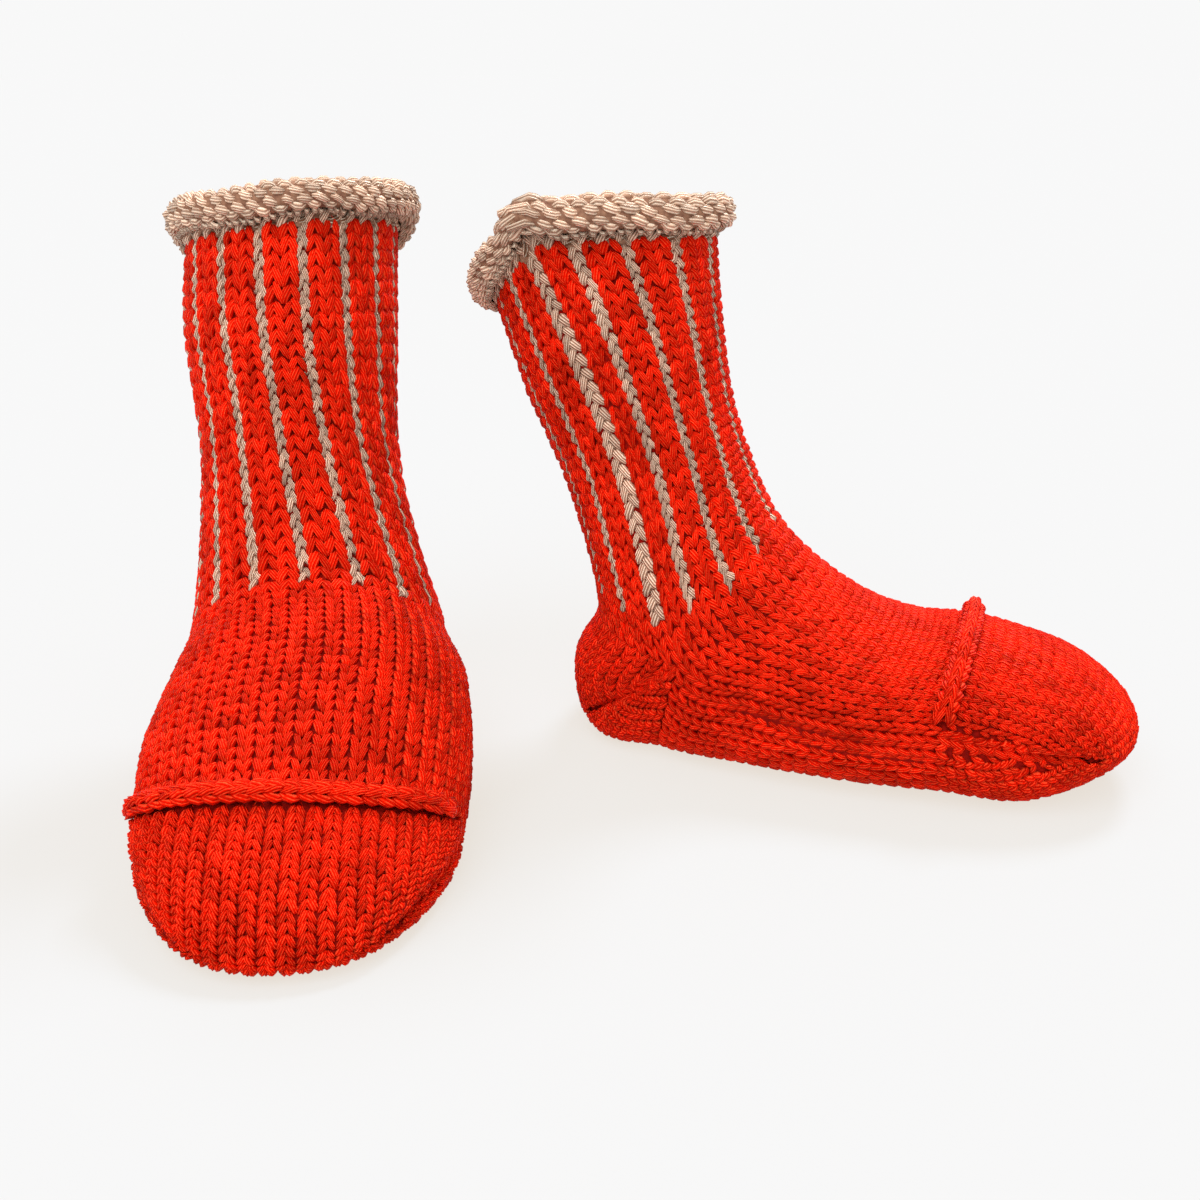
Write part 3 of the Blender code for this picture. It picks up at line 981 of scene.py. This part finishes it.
@dataclass
class Cloth:
    """What the socks' pieces share: the yarns, the bow and the backing's sizes."""

    red: bpy.types.Material
    beige: bpy.types.Material
    stripe: bpy.types.Material
    red_back: bpy.types.Material
    beige_back: bpy.types.Material
    bow: Bow
    backing_depth: float = 1.45 * MM
    backing_wall: float = 0.75 * MM
    backing_step: int = 2

    def finished(self, piece: bpy.types.Object, yarn: Yarn) -> bpy.types.Object:
        """Makes a piece ride on the body.

        Args:
            piece: the piece.
            yarn: its yarn; not used.

        Returns:
            The same piece.
        """
        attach(piece, "root")
        return piece

    def red_piece(self, stitches: Knitting, name: str) -> bpy.types.Object:
        """A finished piece of red stitches."""
        return self.finished(stitches.piece(name, self.red), Yarn.RED)

    def stripe_piece(self, stitches: Knitting, name: str) -> bpy.types.Object:
        """A finished piece of the stripes' stitches."""
        return self.finished(stitches.piece(name, self.stripe), Yarn.BEIGE)

    def backing(self, name: str, fabrics: list[Fabric], node: str, yarn: Yarn,
                stitches: list[bpy.types.Object], depth: float | None = None,
                held: str = "laid") -> bpy.types.Object:
        """Args:
            name: the shell's name.
            fabrics: the surfaces it follows.
            node: the CAD node that it stands for.
            yarn: the yarn that its inner side shows.
            stitches: the pieces that lie on it; not used.
            depth: how far it lies inside the surface.
            held: how the cloth is held; not used.

        Returns:
            The shell.
        """
        sheet = surface(name, [fabric.thinned(self.backing_step) for fabric in fabrics], fabrics[0].closed)
        face_out(sheet, fabrics[0].inside.reshape(-1, 3).mean(axis=0))
        with editing(sheet):
            bpy.ops.transform.shrink_fatten(value=-(self.backing_depth if depth is None else depth))
        thicken(sheet, self.backing_wall)
        sheet.data.materials.clear()
        sheet.data.materials.append(self.red_back if yarn is Yarn.RED else self.beige_back)
        self.finished(sheet, yarn)
        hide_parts(node)
        return sheet


@dataclass(frozen=True)
class Crease:
    """A soft trough that runs along the foot, from one wale and row to another."""

    start_wale: float
    end_wale: float
    start_row: float
    end_row: float
    depth: float
    reach: float = 0.9
    fade: float = 0.3

    def height(self, wale: np.ndarray, row: np.ndarray) -> np.ndarray:
        """Works out how far stitches lie in the trough.

        Args:
            wale: the wale of each.
            row: its row.

        Returns:
            The height of each, 0 or less.
        """
        share = (row - self.start_row) / (self.end_row - self.start_row)
        middle = self.start_wale + (self.end_wale - self.start_wale) * share
        off = np.mod(wale - middle + HALF_WALES, WALES) - HALF_WALES
        return -self.depth * smooth_step(np.minimum(share, 1 - share) / self.fade) * bell(off, self.reach)


@dataclass
class Ribbing:
    """Two red wales and a narrow beige one by turns, which end in plain red knitting.

    Wales and rows count from the right side and the cuff, on through the foot. The ribs twist a
    little round the leg, and a few stripes are stretched wide.
    """

    leg_rows: int
    ends_at_side: float
    ends_at_front: float
    twist: float
    wide: dict[int, float] = field(default_factory=dict)
    stripe_width: float = 0.22
    fade_rows: float = 3.0
    groove: float = 0.55 * MM
    groove_reach: float = 0.13
    valley: float = 0.0
    valley_wale: float = 1.5
    valley_reach: float = 1.1

    def end(self, wale: np.ndarray) -> np.ndarray:
        """The row where the stripes end, lower at the front than at the sides and back."""
        share = np.clip(np.mod(wale + 1, WALES) - 1, 0, HALF_WALES) / HALF_WALES
        return self.ends_at_side + (self.ends_at_front - self.ends_at_side) * np.sin(np.pi * share)

    def beige(self, wale: np.ndarray, row: np.ndarray) -> np.ndarray:
        """Whether each stitch is beige, as those of the stripes are and all over the leg's edge."""
        return (wale % WALES_PER_STRIPE == 0) & (row < self.end(wale)) | (row < 0)

    def evened(self, wale: np.ndarray, row: np.ndarray) -> np.ndarray:
        """How far the wales are back to equal widths, from 0 in the stripes to 1 under them."""
        return smooth_step((row - self.end(wale) + 0.5) / self.fade_rows)

    def place(self, wale: np.ndarray, row: np.ndarray) -> np.ndarray:
        """Narrows the beige wales, widens the red ones and twists them all.

        Args:
            wale: the wale of each point.
            row: its row, counted from the cuff.

        Returns:
            Its wale on the surface.
        """
        half_stripe = WALES_PER_STRIPE / 2
        stripe = np.round(wale / WALES_PER_STRIPE)
        shares = np.full(WALES // WALES_PER_STRIPE, self.stripe_width)
        for index, share in self.wide.items():
            shares[index] = share
        narrow = shares[np.mod(stripe, len(shares)).astype(int)] * half_stripe
        off = wale - stripe * WALES_PER_STRIPE
        far = np.maximum(np.abs(off) - 0.5, 0) / (half_stripe - 0.5)
        near = np.minimum(np.abs(off), 0.5) * 2 * narrow
        ribbed = stripe * WALES_PER_STRIPE + np.sign(off) * (near + far * (half_stripe - narrow))
        share = self.evened(wale, row)
        twisted = self.twist * np.maximum(1 - row / self.leg_rows, 0)
        return ribbed * (1 - share) + wale * share + twisted

    def height(self, wale: np.ndarray, row: np.ndarray) -> np.ndarray:
        """Works out how far the ribs' surface lies under their crests.

        Args:
            wale: the wale of each stitch.
            row: its row, counted from the cuff.

        Returns:
            The height of each, 0 or less.
        """
        stripe = np.round(wale / WALES_PER_STRIPE) * WALES_PER_STRIPE
        off = np.abs(self.place(wale, row) - self.place(stripe, row)) / WALES_PER_STRIPE
        groove = self.groove * bell(off, self.groove_reach) * (1 - self.evened(wale, row))
        along = np.sin(np.pi * np.clip(row / self.end(wale), 0, 1))
        valley = self.valley * along * np.exp(-((wale - self.valley_wale) / self.valley_reach)**4)
        return -groove - valley

    def knit(self, red: Knitting, beige: Knitting, fabric: Fabric, first_row: int, above: int = 0,
             tuck: float = 0.0, creases: tuple[Crease, ...] = ()) -> None:
        """Lays the stitches of a closed fabric, sorted by their yarn.

        Args:
            red: takes the red stitches.
            beige: takes the beige ones.
            fabric: what they lie on.
            first_row: the fabric's first row, counted from the cuff.
            above: how many rows go on over the fabric's upper edge.
            tuck: how deep the crease is at its lower edge.
            creases: the troughs along it.
        """
        def place(wales: np.ndarray, rows: np.ndarray) -> np.ndarray:
            """The fabric's own wales, from rows counted on the fabric."""
            return self.place(wales, rows + first_row)

        wale, row = patch_of(np.arange(WALES), np.arange(-above, fabric.rows))
        is_beige = self.beige(wale, row + first_row)
        is_plain = self.evened(wale, row + first_row) > 0.5
        lifts = self.height(wale.astype(float), row + first_row + 0.5)
        lifts = lifts + tucked(wale, fabric.rows - row - 0.5, tuck)
        for crease in creases:
            lifts = lifts + crease.height(wale, row + 0.5)
        kinds = ((red, ~is_beige & ~is_plain, RIB), (red, is_plain, PLAIN), (beige, is_beige, BRAID))
        for stitches, kept, arm in kinds:
            stitches.arms(fabric, wale[kept], row[kept], arm, place, lifts[kept])


@dataclass(frozen=True)
class Wave:
    """A soft wave round the roll: how many times it rises, how its start shifts, and its height."""

    count: int
    shift: float
    size: float

    def height(self, turn: np.ndarray, phase: float) -> np.ndarray:
        """How high the wave is at angles round the roll."""
        return self.size * np.sin(self.count * turn + self.shift * phase)


@dataclass(frozen=True)
class Fold:
    """A fold across the roll, at a wale: it swells on one side, shrinks on the other and rises over it.

    Its steps and reaches are in wales.
    """

    wale: float
    swell: float = 0.12
    swell_step: float = 0.8
    swell_reach: float = 2.6
    rise: float = 1.9 * MM
    rise_off: float = 0.1
    rise_reach: float = 1.1


@dataclass
class CuffRoll:
    """The rolled edge: beige knitting that curls outwards and shows the backs of its stitches."""

    form: SockForm
    cloth: Cloth
    fold: Fold | None
    seed: int
    radius: float = 3.9 * MM
    centre_out: float = 0.6 * MM
    centre_up: float = 4.1 * MM
    end_angle: float = math.radians(-75)
    wall: float = 2.4 * MM
    overlap: float = 1.5 * MM
    backing_depth: float = 1.0 * MM
    rows: int = 10
    edge_past: float = 0.35
    rings: int = 49
    swells: tuple[Wave, ...] = (Wave(3, 1, 0.05), Wave(7, 2, 0.03))
    lifts: tuple[Wave, ...] = (Wave(5, 1, 0.35 * MM), Wave(2, -1, 0.25 * MM))
    phase_step: float = 0.37

    def unevenness(self) -> tuple[np.ndarray, np.ndarray]:
        """Works out how the roll varies round its edge.

        Returns:
            How much thicker it is, and how much higher.
        """
        wale = np.arange(2 * HALF_COLUMNS) / HALF_COLUMNS * HALF_WALES
        turn = 2 * np.pi * wale / WALES
        phase = self.seed * self.phase_step
        swell = 1 + sum(wave.height(turn, phase) for wave in self.swells)
        lift = sum(wave.height(turn, phase) for wave in self.lifts)
        if self.fold is not None:
            off = (wale - self.fold.wale + HALF_WALES) % WALES - HALF_WALES
            swell += self.fold.swell * np.tanh(off / self.fold.swell_step) * bell(off, self.fold.swell_reach)
            lift += self.fold.rise * bell(off - self.fold.rise_off, self.fold.rise_reach)
        return swell, lift

    def fabric(self) -> Fabric:
        """Makes the roll's outer side, from its inner foot over the top to its free edge.

        Returns:
            The surface.
        """
        edge = self.form.ring(SEAM, SEAM)
        below = self.form.ring(SEAM + SMALL_STEP, SEAM + SMALL_STEP)
        around = unit(np.roll(edge, -1, axis=0) - np.roll(edge, 1, axis=0))
        out = unit(np.cross(around, below - edge))
        if np.sum(out * (edge - edge.mean(axis=0))) < 0:
            out = -out
        down = unit(np.cross(out, around))
        if np.sum(down * (below - edge)) < 0:
            down = -down
        swell, lift = self.unevenness()
        lines = [edge - out * self.wall + down * self.overlap]
        for angle in np.linspace(math.pi, self.end_angle, self.rings):
            across = self.centre_out + self.radius * math.cos(angle) * swell
            rise = self.centre_up + self.radius * math.sin(angle) * swell + lift
            lines.append(edge + out * across[:, None] - down * rise[:, None])
        core = edge + out * self.centre_out - down * self.centre_up
        return Fabric(woven(lines, self.rows), self.rows, True, core[None])

    def build(self) -> list[bpy.types.Object]:
        """Knits the roll.

        Returns:
            The bumps and the backing.
        """
        cloth, name = self.cloth, self.form.name
        fabric = self.fabric()
        bumps = Knitting(self.seed, cloth.bow)
        for row in range(self.rows):
            odd = row % 2
            bumps.purls(fabric, np.arange(WALES) + 0.5 * odd, row + 0.5, -1 if odd else 1, BUMP)
        bumps.purls(fabric, np.arange(0, WALES, 0.5), self.rows + self.edge_past, -1, EDGE_LOOP)
        beige = cloth.finished(bumps.piece(name + "_roll_stitches", cloth.beige), Yarn.BEIGE)
        backing = cloth.backing(name + "_roll_backing", [fabric], name + "_cuff_roll", Yarn.BEIGE, [beige],
                                self.backing_depth, "folded")
        return [beige, backing]


@dataclass
class Leg:
    """The striped leg."""

    form: SockForm
    cloth: Cloth
    ribbing: Ribbing
    seed: int

    def build(self) -> list[bpy.types.Object]:
        """Knits the leg.

        Returns:
            The red stitches, the beige stitches and the backing.
        """
        cloth, name = self.cloth, self.form.name
        fabric = self.form.tube(SEAM, ANKLE, 0, self.ribbing.leg_rows)
        stitches, stripes = Knitting(self.seed, cloth.bow), Knitting(self.seed + 1, cloth.bow)
        self.ribbing.knit(stitches, stripes, fabric, 0, above=1)
        red = cloth.red_piece(stitches, name + "_leg_red_stitches")
        beige = cloth.stripe_piece(stripes, name + "_leg_stripes")
        backing = cloth.backing(name + "_leg_backing", [fabric], name + "_leg", Yarn.RED, [red, beige])
        return [red, beige, backing]


@dataclass
class Foot:
    """The foot: instep and sole all round, and the heel's pocket."""

    form: SockForm
    cloth: Cloth
    ribbing: Ribbing
    tuck: float
    creases: tuple[Crease, ...]
    seed: int
    rows: int = 24
    heel_rows: int = 12

    def build(self) -> list[bpy.types.Object]:
        """Knits the foot.

        Returns:
            The red stitches, the stripes' last ones where they reach it, and the backing.
        """
        cloth, name = self.cloth, self.form.name
        tube = self.form.tube(ANKLE, RIDGE, HEEL_RUN[2] - ANKLE, self.rows)
        stitches, stripes = Knitting(self.seed, cloth.bow), Knitting(self.seed + 1, cloth.bow)
        first_row = self.ribbing.leg_rows
        self.ribbing.knit(stitches, stripes, tube, first_row, tuck=self.tuck, creases=self.creases)
        sides = self.form.sides(self.form.heel, ANKLE, HEEL_RUN, self.heel_rows)
        stitches.short_rows(sides)
        made = [cloth.red_piece(stitches, name + "_foot_stitches")]
        if stripes.points:
            made.append(cloth.stripe_piece(stripes, name + "_stripe_ends"))
        fabrics = tube.halved() + sides
        return [*made, cloth.backing(name + "_foot_backing", fabrics, name + "_foot", Yarn.RED, made)]


@dataclass
class Toe:
    """The toe cap: a pocket like the heel's, worked on from the sole and folded up."""

    form: SockForm
    cloth: Cloth
    tuck: float
    seed: int
    hole_width: float = 1.2
    rows: int = 18

    def build(self) -> list[bpy.types.Object]:
        """Knits the toe cap.

        Returns:
            The stitches and the backing.
        """
        cloth, name = self.cloth, self.form.name
        sides = self.form.sides(self.form.toe, RIDGE, TOE_RUN, self.rows)
        stitches = Knitting(self.seed, cloth.bow)
        stitches.short_rows(sides, self.tuck, self.hole_width)
        red = cloth.red_piece(stitches, name + "_toe_stitches")
        return [red, cloth.backing(name + "_toe_backing", sides, name + "_toe", Yarn.RED, [red])]


@dataclass
class ToeSeam:
    """The raised welt over the toe cap's join, two chains of stitches side by side."""

    form: SockForm
    cloth: Cloth
    seed: int
    half_width: float = 2.5 * MM
    height: float = 2.6 * MM
    lift: float = 0.35 * MM
    start: float = 0.05
    end: float = 0.90
    low_end: float = 0.35
    taper: float = 0.08
    inside_depth: float = 30.0 * MM
    rings: int = 25
    rows: int = 25
    chains: int = 2

    def fabric(self) -> Fabric:
        """Makes the welt's top, its rows along the seam, its wales from the instep over to the cap.

        Returns:
            The surface.
        """
        shares = np.linspace(self.start, self.end, HALF_COLUMNS + 1)
        ends = smooth_step(np.minimum(shares - self.start, self.end - shares) / self.taper)
        low = (self.low_end + (1 - self.low_end) * ends)[:, None]
        middle = self.form.front(RIDGE, shares)
        before = self.form.front(RIDGE - SMALL_STEP, shares)
        after = self.form.short_row(self.form.toe, RIDGE, SMALL_STEP, TOE_RUN[2] - 2 * SMALL_STEP, shares)
        back, ahead = unit(before - middle), unit(after - middle)
        normal = unit(np.cross(unit(np.gradient(middle, axis=0)), back - ahead))
        if normal[len(normal) // 2][2] < 0:
            normal = -normal
        lines = []
        for angle in np.linspace(math.pi, 0, self.rings):
            way = ahead if angle < math.pi / 2 else back
            along = abs(math.cos(angle)) * self.half_width
            lines.append(middle + normal * (self.lift + math.sin(angle) * self.height * low) + way * along)
        grid = woven(list(np.swapaxes(np.array(lines), 0, 1)), self.rows)
        under = middle.mean(axis=0) - normal[len(normal) // 2] * self.inside_depth
        fabric = Fabric(grid, self.rows, False, np.broadcast_to(under, (1, 1, 3)))
        fabric.halves[:] = self.chains / 2
        return fabric

    def build(self) -> list[bpy.types.Object]:
        """Knits the welt.

        Returns:
            Its stitches, which are all of it.
        """
        wales = HALF_WALES / 2 + np.arange(self.chains) - (self.chains - 1) / 2
        stitches = Knitting(self.seed, self.cloth.bow)
        stitches.arms(self.fabric(), *patch_of(wales, np.arange(self.rows)), CHAIN)
        red = self.cloth.red_piece(stitches, self.form.name + "_seam_stitches")
        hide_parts(self.form.name + "_toe_seam")
        return [red]


@dataclass
class Sock:
    """One whole sock."""

    form: SockForm
    ribbing: Ribbing
    seed: int
    toe_tuck: float
    instep_tuck: float
    creases: tuple[Crease, ...]
    fold: Fold | None = None

    def build(self, cloth: Cloth) -> list[bpy.types.Object]:
        """Knits the sock from its cuff to its toe.

        Args:
            cloth: the yarns and the bow.

        Returns:
            All its pieces.
        """
        parts = (
            CuffRoll(self.form, cloth, self.fold, self.seed),
            Leg(self.form, cloth, self.ribbing, self.seed + 10),
            Foot(self.form, cloth, self.ribbing, self.instep_tuck, self.creases, self.seed + 20),
            Toe(self.form, cloth, self.toe_tuck, self.seed + 30),
            ToeSeam(self.form, cloth, self.seed + 40),
        )
        return [piece for part in parts for piece in part.build()]


RIGHT_FORM = SockForm(
    name="right",
    x=-17.1,
    y=39.2,
    heading=-18.7,
    sections=(
        Section(31.8, 105.5, 1.0, 102.0, 20.0, tilt=-2.5),
        Section(33.3, 89.0, 10.0, 83.5, 21.0, tilt=-1.5, dent=1.6),
        Section(37.0, 69.0, 19.5, 59.0, 20.0, dent=1.6),
        Section(47.0, 48.0, 32.0, 22.5, 24.0, sway=-0.5),
        Section(63.0, 34.5, 49.5, 18.5, 26.5, sway=-0.8),
        Section(76.5, 29.3, 68.0, 16.5, 28.0, sway=-0.6),
        Section(87.5, 30.0, 84.5, 16.5, 27.5),
    ),
    back=(
        Outline(-13.5, 89.0, 2.0),
        Outline(-7.2, 71.5, 2.0),
        Outline(1.8, 52.0, 2.0),
        Outline(9.0, 28.0, 2.2),
    ),
    heel=Pocket(
        side_x=13.0,
        side_z=8.0,
        half_width=17.0,
        before=Outline(4.0, 17.0, 2.3),
        corner=Outline(6.0, 4.0, 2.4),
        after=Outline(12.5, -1.2, 3.0),
    ),
    sole=(
        Outline(26.0, -1.5, 3.4),
        Outline(45.0, -1.2, 3.4),
        Outline(66.0, -1.2, 3.2),
        Outline(86.0, -1.2, 3.0),
    ),
    toe=Pocket(
        side_x=112.0,
        side_z=12.5,
        half_width=19.0,
        before=Outline(105.5, -1.0, 2.6),
        corner=Outline(122.0, 11.5, 2.1),
        after=Outline(112.5, 23.0, 2.0),
    ),
)
LEFT_FORM = SockForm(
    name="left",
    x=-70.7,
    y=50.6,
    heading=-85.4,
    sections=(
        Section(26.0, 108.5, 4.0, 103.5, 22.0, sway=-3.7, tilt=2.0),
        Section(33.5, 90.0, 11.5, 86.0, 22.0, sway=-4.2, tilt=1.0),
        Section(39.5, 70.5, 20.0, 57.0, 20.7, sway=-3.1),
        Section(49.5, 46.0, 32.0, 25.5, 26.0, sway=-0.4),
        Section(64.0, 39.5, 48.0, 21.5, 29.0, sway=1.2),
        Section(80.0, 32.0, 67.0, 15.5, 30.8, sway=0.6, tilt=-0.5),
        Section(97.0, 22.3, 83.0, 9.5, 29.6, sway=0.3, tilt=-1.5),
    ),
    back=(
        Outline(-13.5, 89.5, 2.0),
        Outline(-7.0, 70.0, 2.0),
        Outline(0.0, 50.0, 2.0),
        Outline(6.5, 28.0, 2.2),
    ),
    heel=Pocket(
        side_x=11.5,
        side_z=8.0,
        half_width=17.0,
        before=Outline(1.5, 16.5, 2.3),
        corner=Outline(4.0, 4.0, 2.4),
        after=Outline(11.0, -1.2, 3.0),
    ),
    sole=(
        Outline(26.0, -1.5, 3.4),
        Outline(45.0, -1.2, 3.4),
        Outline(66.0, -1.2, 3.2),
        Outline(84.0, -1.2, 3.0),
    ),
    toe=Pocket(
        side_x=107.5,
        side_z=5.5,
        half_width=18.5,
        before=Outline(105.0, -1.2, 2.6),
        corner=Outline(120.3, 2.8, 2.1),
        after=Outline(111.5, 14.5, 2.0),
    ),
)

# Each yarn's deep colour is painted shade, and its glint colour is a painted highlight that also tints its
# reflections.
RED_YARN = YarnFinish(
    name="red yarn",
    lit=(0.96, 0.007, 0.0003),
    deep=(0.24, 0.005, 0.0003),
    glint=(1.0, 0.10, 0.03),
    roughness=0.55,
    strand_depth=0.40 * MM,
    groove=0.42,
    gloss=0.08,
)
BEIGE_YARN = YarnFinish(
    name="beige yarn",
    lit=(0.94, 0.60, 0.42),
    deep=(0.19, 0.075, 0.035),
    glint=(1.0, 0.88, 0.70),
    roughness=0.42,
    strand_depth=0.52 * MM,
    groove=0.70,
    gloss=0.35,
)
# A shaded copy of the beige yarn: a little darker, with darker painted shade between the stitches, more
# painted shade in each groove between the strands, and a little more gloss.
STRIPE_YARN = YarnFinish(
    name="beige yarn in the stripes",
    lit=(0.92, 0.55, 0.38),
    deep=(0.15, 0.055, 0.025),
    glint=(1.0, 0.86, 0.68),
    roughness=0.40,
    strand_depth=0.52 * MM,
    groove=0.85,
    gloss=0.40,
)
# The backings' colours are the yarns' own darkened as painted shade, and their dark colours are painted shade
# in the hollows of their bumps.
RED_BACK = BackingFinish("red backing", colour=(0.34, 0.004, 0.0004), dark=(0.13, 0.002, 0.0003))
BEIGE_BACK = BackingFinish("beige backing", colour=(0.34, 0.18, 0.11), dark=(0.16, 0.07, 0.045))

# Half the width of the photo's frame, and the length of its lens, both in the photo's pixels.
HALF_FRAME = 600
LENS = 1396


@dataclass(frozen=True)
class Lamp:
    """A soft far light. Its angles are degrees, the azimuth counted from the camera's side rightwards."""

    name: str
    azimuth: float
    elevation: float
    spread: float
    strength: float

    def build(self) -> None:
        """Adds the light."""
        turn, tilt = math.radians(self.azimuth), math.radians(90 - self.elevation)
        bpy.ops.object.light_add(type="SUN", location=(0, 0, 1), rotation=(tilt, 0, turn))
        lamp = bpy.context.object
        lamp.name = self.name
        lamp.data.angle = math.radians(self.spread)
        lamp.data.energy = self.strength


@dataclass(frozen=True)
class Studio:
    """The floor, the lights and the camera."""

    camera_place: tuple[float, float, float] = (-9.85 * MM, -253.34 * MM, 135.1 * MM)
    camera_pitch: float = 0.361
    camera_view: float = 2 * math.atan(HALF_FRAME / LENS)
    camera_start: float = 0.01
    floor_size: float = 80.0
    floor_colour: Colour = (0.078, 0.098, 0.130)
    floor_glow: Colour = (0.758, 0.711, 0.637)
    floor_roughness: float = 0.9
    studio_light: float = 0.94
    lamps: tuple[Lamp, ...] = (Lamp("key", -20, 55, 55, 2.25), Lamp("top", 152, 51, 18, 3.3))

    def floor(self) -> None:
        """Lays a pale floor as bright as the studio behind it."""
        bpy.ops.object.select_all(action="DESELECT")
        bpy.ops.mesh.primitive_plane_add(size=self.floor_size, location=(0, 0, 0))
        made = bpy.context.object
        made.name = "floor"
        values = {
            "Base Color": (*self.floor_colour, 1.0),
            "Roughness": self.floor_roughness,
            "Specular IOR Level": 0.0,
            "Emission Color": (*self.floor_glow, 1.0),
            "Emission Strength": 1.0,
        }
        made.data.materials.append(Paint("floor", values).material)

    def build(self) -> None:
        """Sets the floor, the lights and the camera."""
        self.floor()
        for lamp in self.lamps:
            lamp.build()
        world = bpy.data.worlds.new("studio")
        bpy.context.scene.world = world
        world.use_nodes = True
        light = world.node_tree.nodes["Background"].inputs
        light["Color"].default_value = (1.0, 1.0, 1.0, 1.0)
        light["Strength"].default_value = self.studio_light
        tilt = math.pi / 2 - self.camera_pitch
        bpy.ops.object.camera_add(location=self.camera_place, rotation=(tilt, 0, 0))
        camera = bpy.context.object
        camera.data.angle = self.camera_view
        camera.data.clip_start = self.camera_start
        bpy.context.scene.camera = camera
        bpy.context.scene.view_settings.view_transform = "Standard"


def main() -> None:
    """Builds the socks and the studio, and notes the sizes."""
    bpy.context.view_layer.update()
    cloth = Cloth(
        red=RED_YARN.material(),
        beige=BEIGE_YARN.material(),
        stripe=STRIPE_YARN.material(),
        red_back=RED_BACK.material(),
        beige_back=BEIGE_BACK.material(),
        bow=Bow(),
    )
    right_ribs = Ribbing(leg_rows=29, ends_at_side=25.6, ends_at_front=29.0, twist=-0.85, valley=0.55 * MM,
                         wide={0: 0.40, 1: 0.30})
    left_ribs = Ribbing(leg_rows=24, ends_at_side=22.8, ends_at_front=25.0, twist=-1.3)
    right_creases = (Crease(-0.6, -2.4, 2.0, 28.0, 0.85 * MM), Crease(25.0, 26.2, 5.0, 21.0, 0.6 * MM))
    left_creases = (Crease(-1.4, -2.6, 7.0, 24.0, 0.6 * MM), Crease(25.2, 26.0, 3.0, 19.0, 0.7 * MM))
    right = Sock(RIGHT_FORM, right_ribs, seed=100, toe_tuck=0.5 * MM, instep_tuck=1.1 * MM,
                 creases=right_creases, fold=Fold(wale=-0.3))
    left = Sock(LEFT_FORM, left_ribs, seed=200, toe_tuck=1.5 * MM, instep_tuck=0.0, creases=left_creases)
    for piece in (*right.build(cloth), *left.build(cloth)):
        LOG.info("%s: %d faces in %s", piece.name, len(piece.data.polygons), piece.data.materials[0].name)
    Studio().build()
    LOG.info("floor, lights and camera set")


if __name__ == "__main__":
    main()
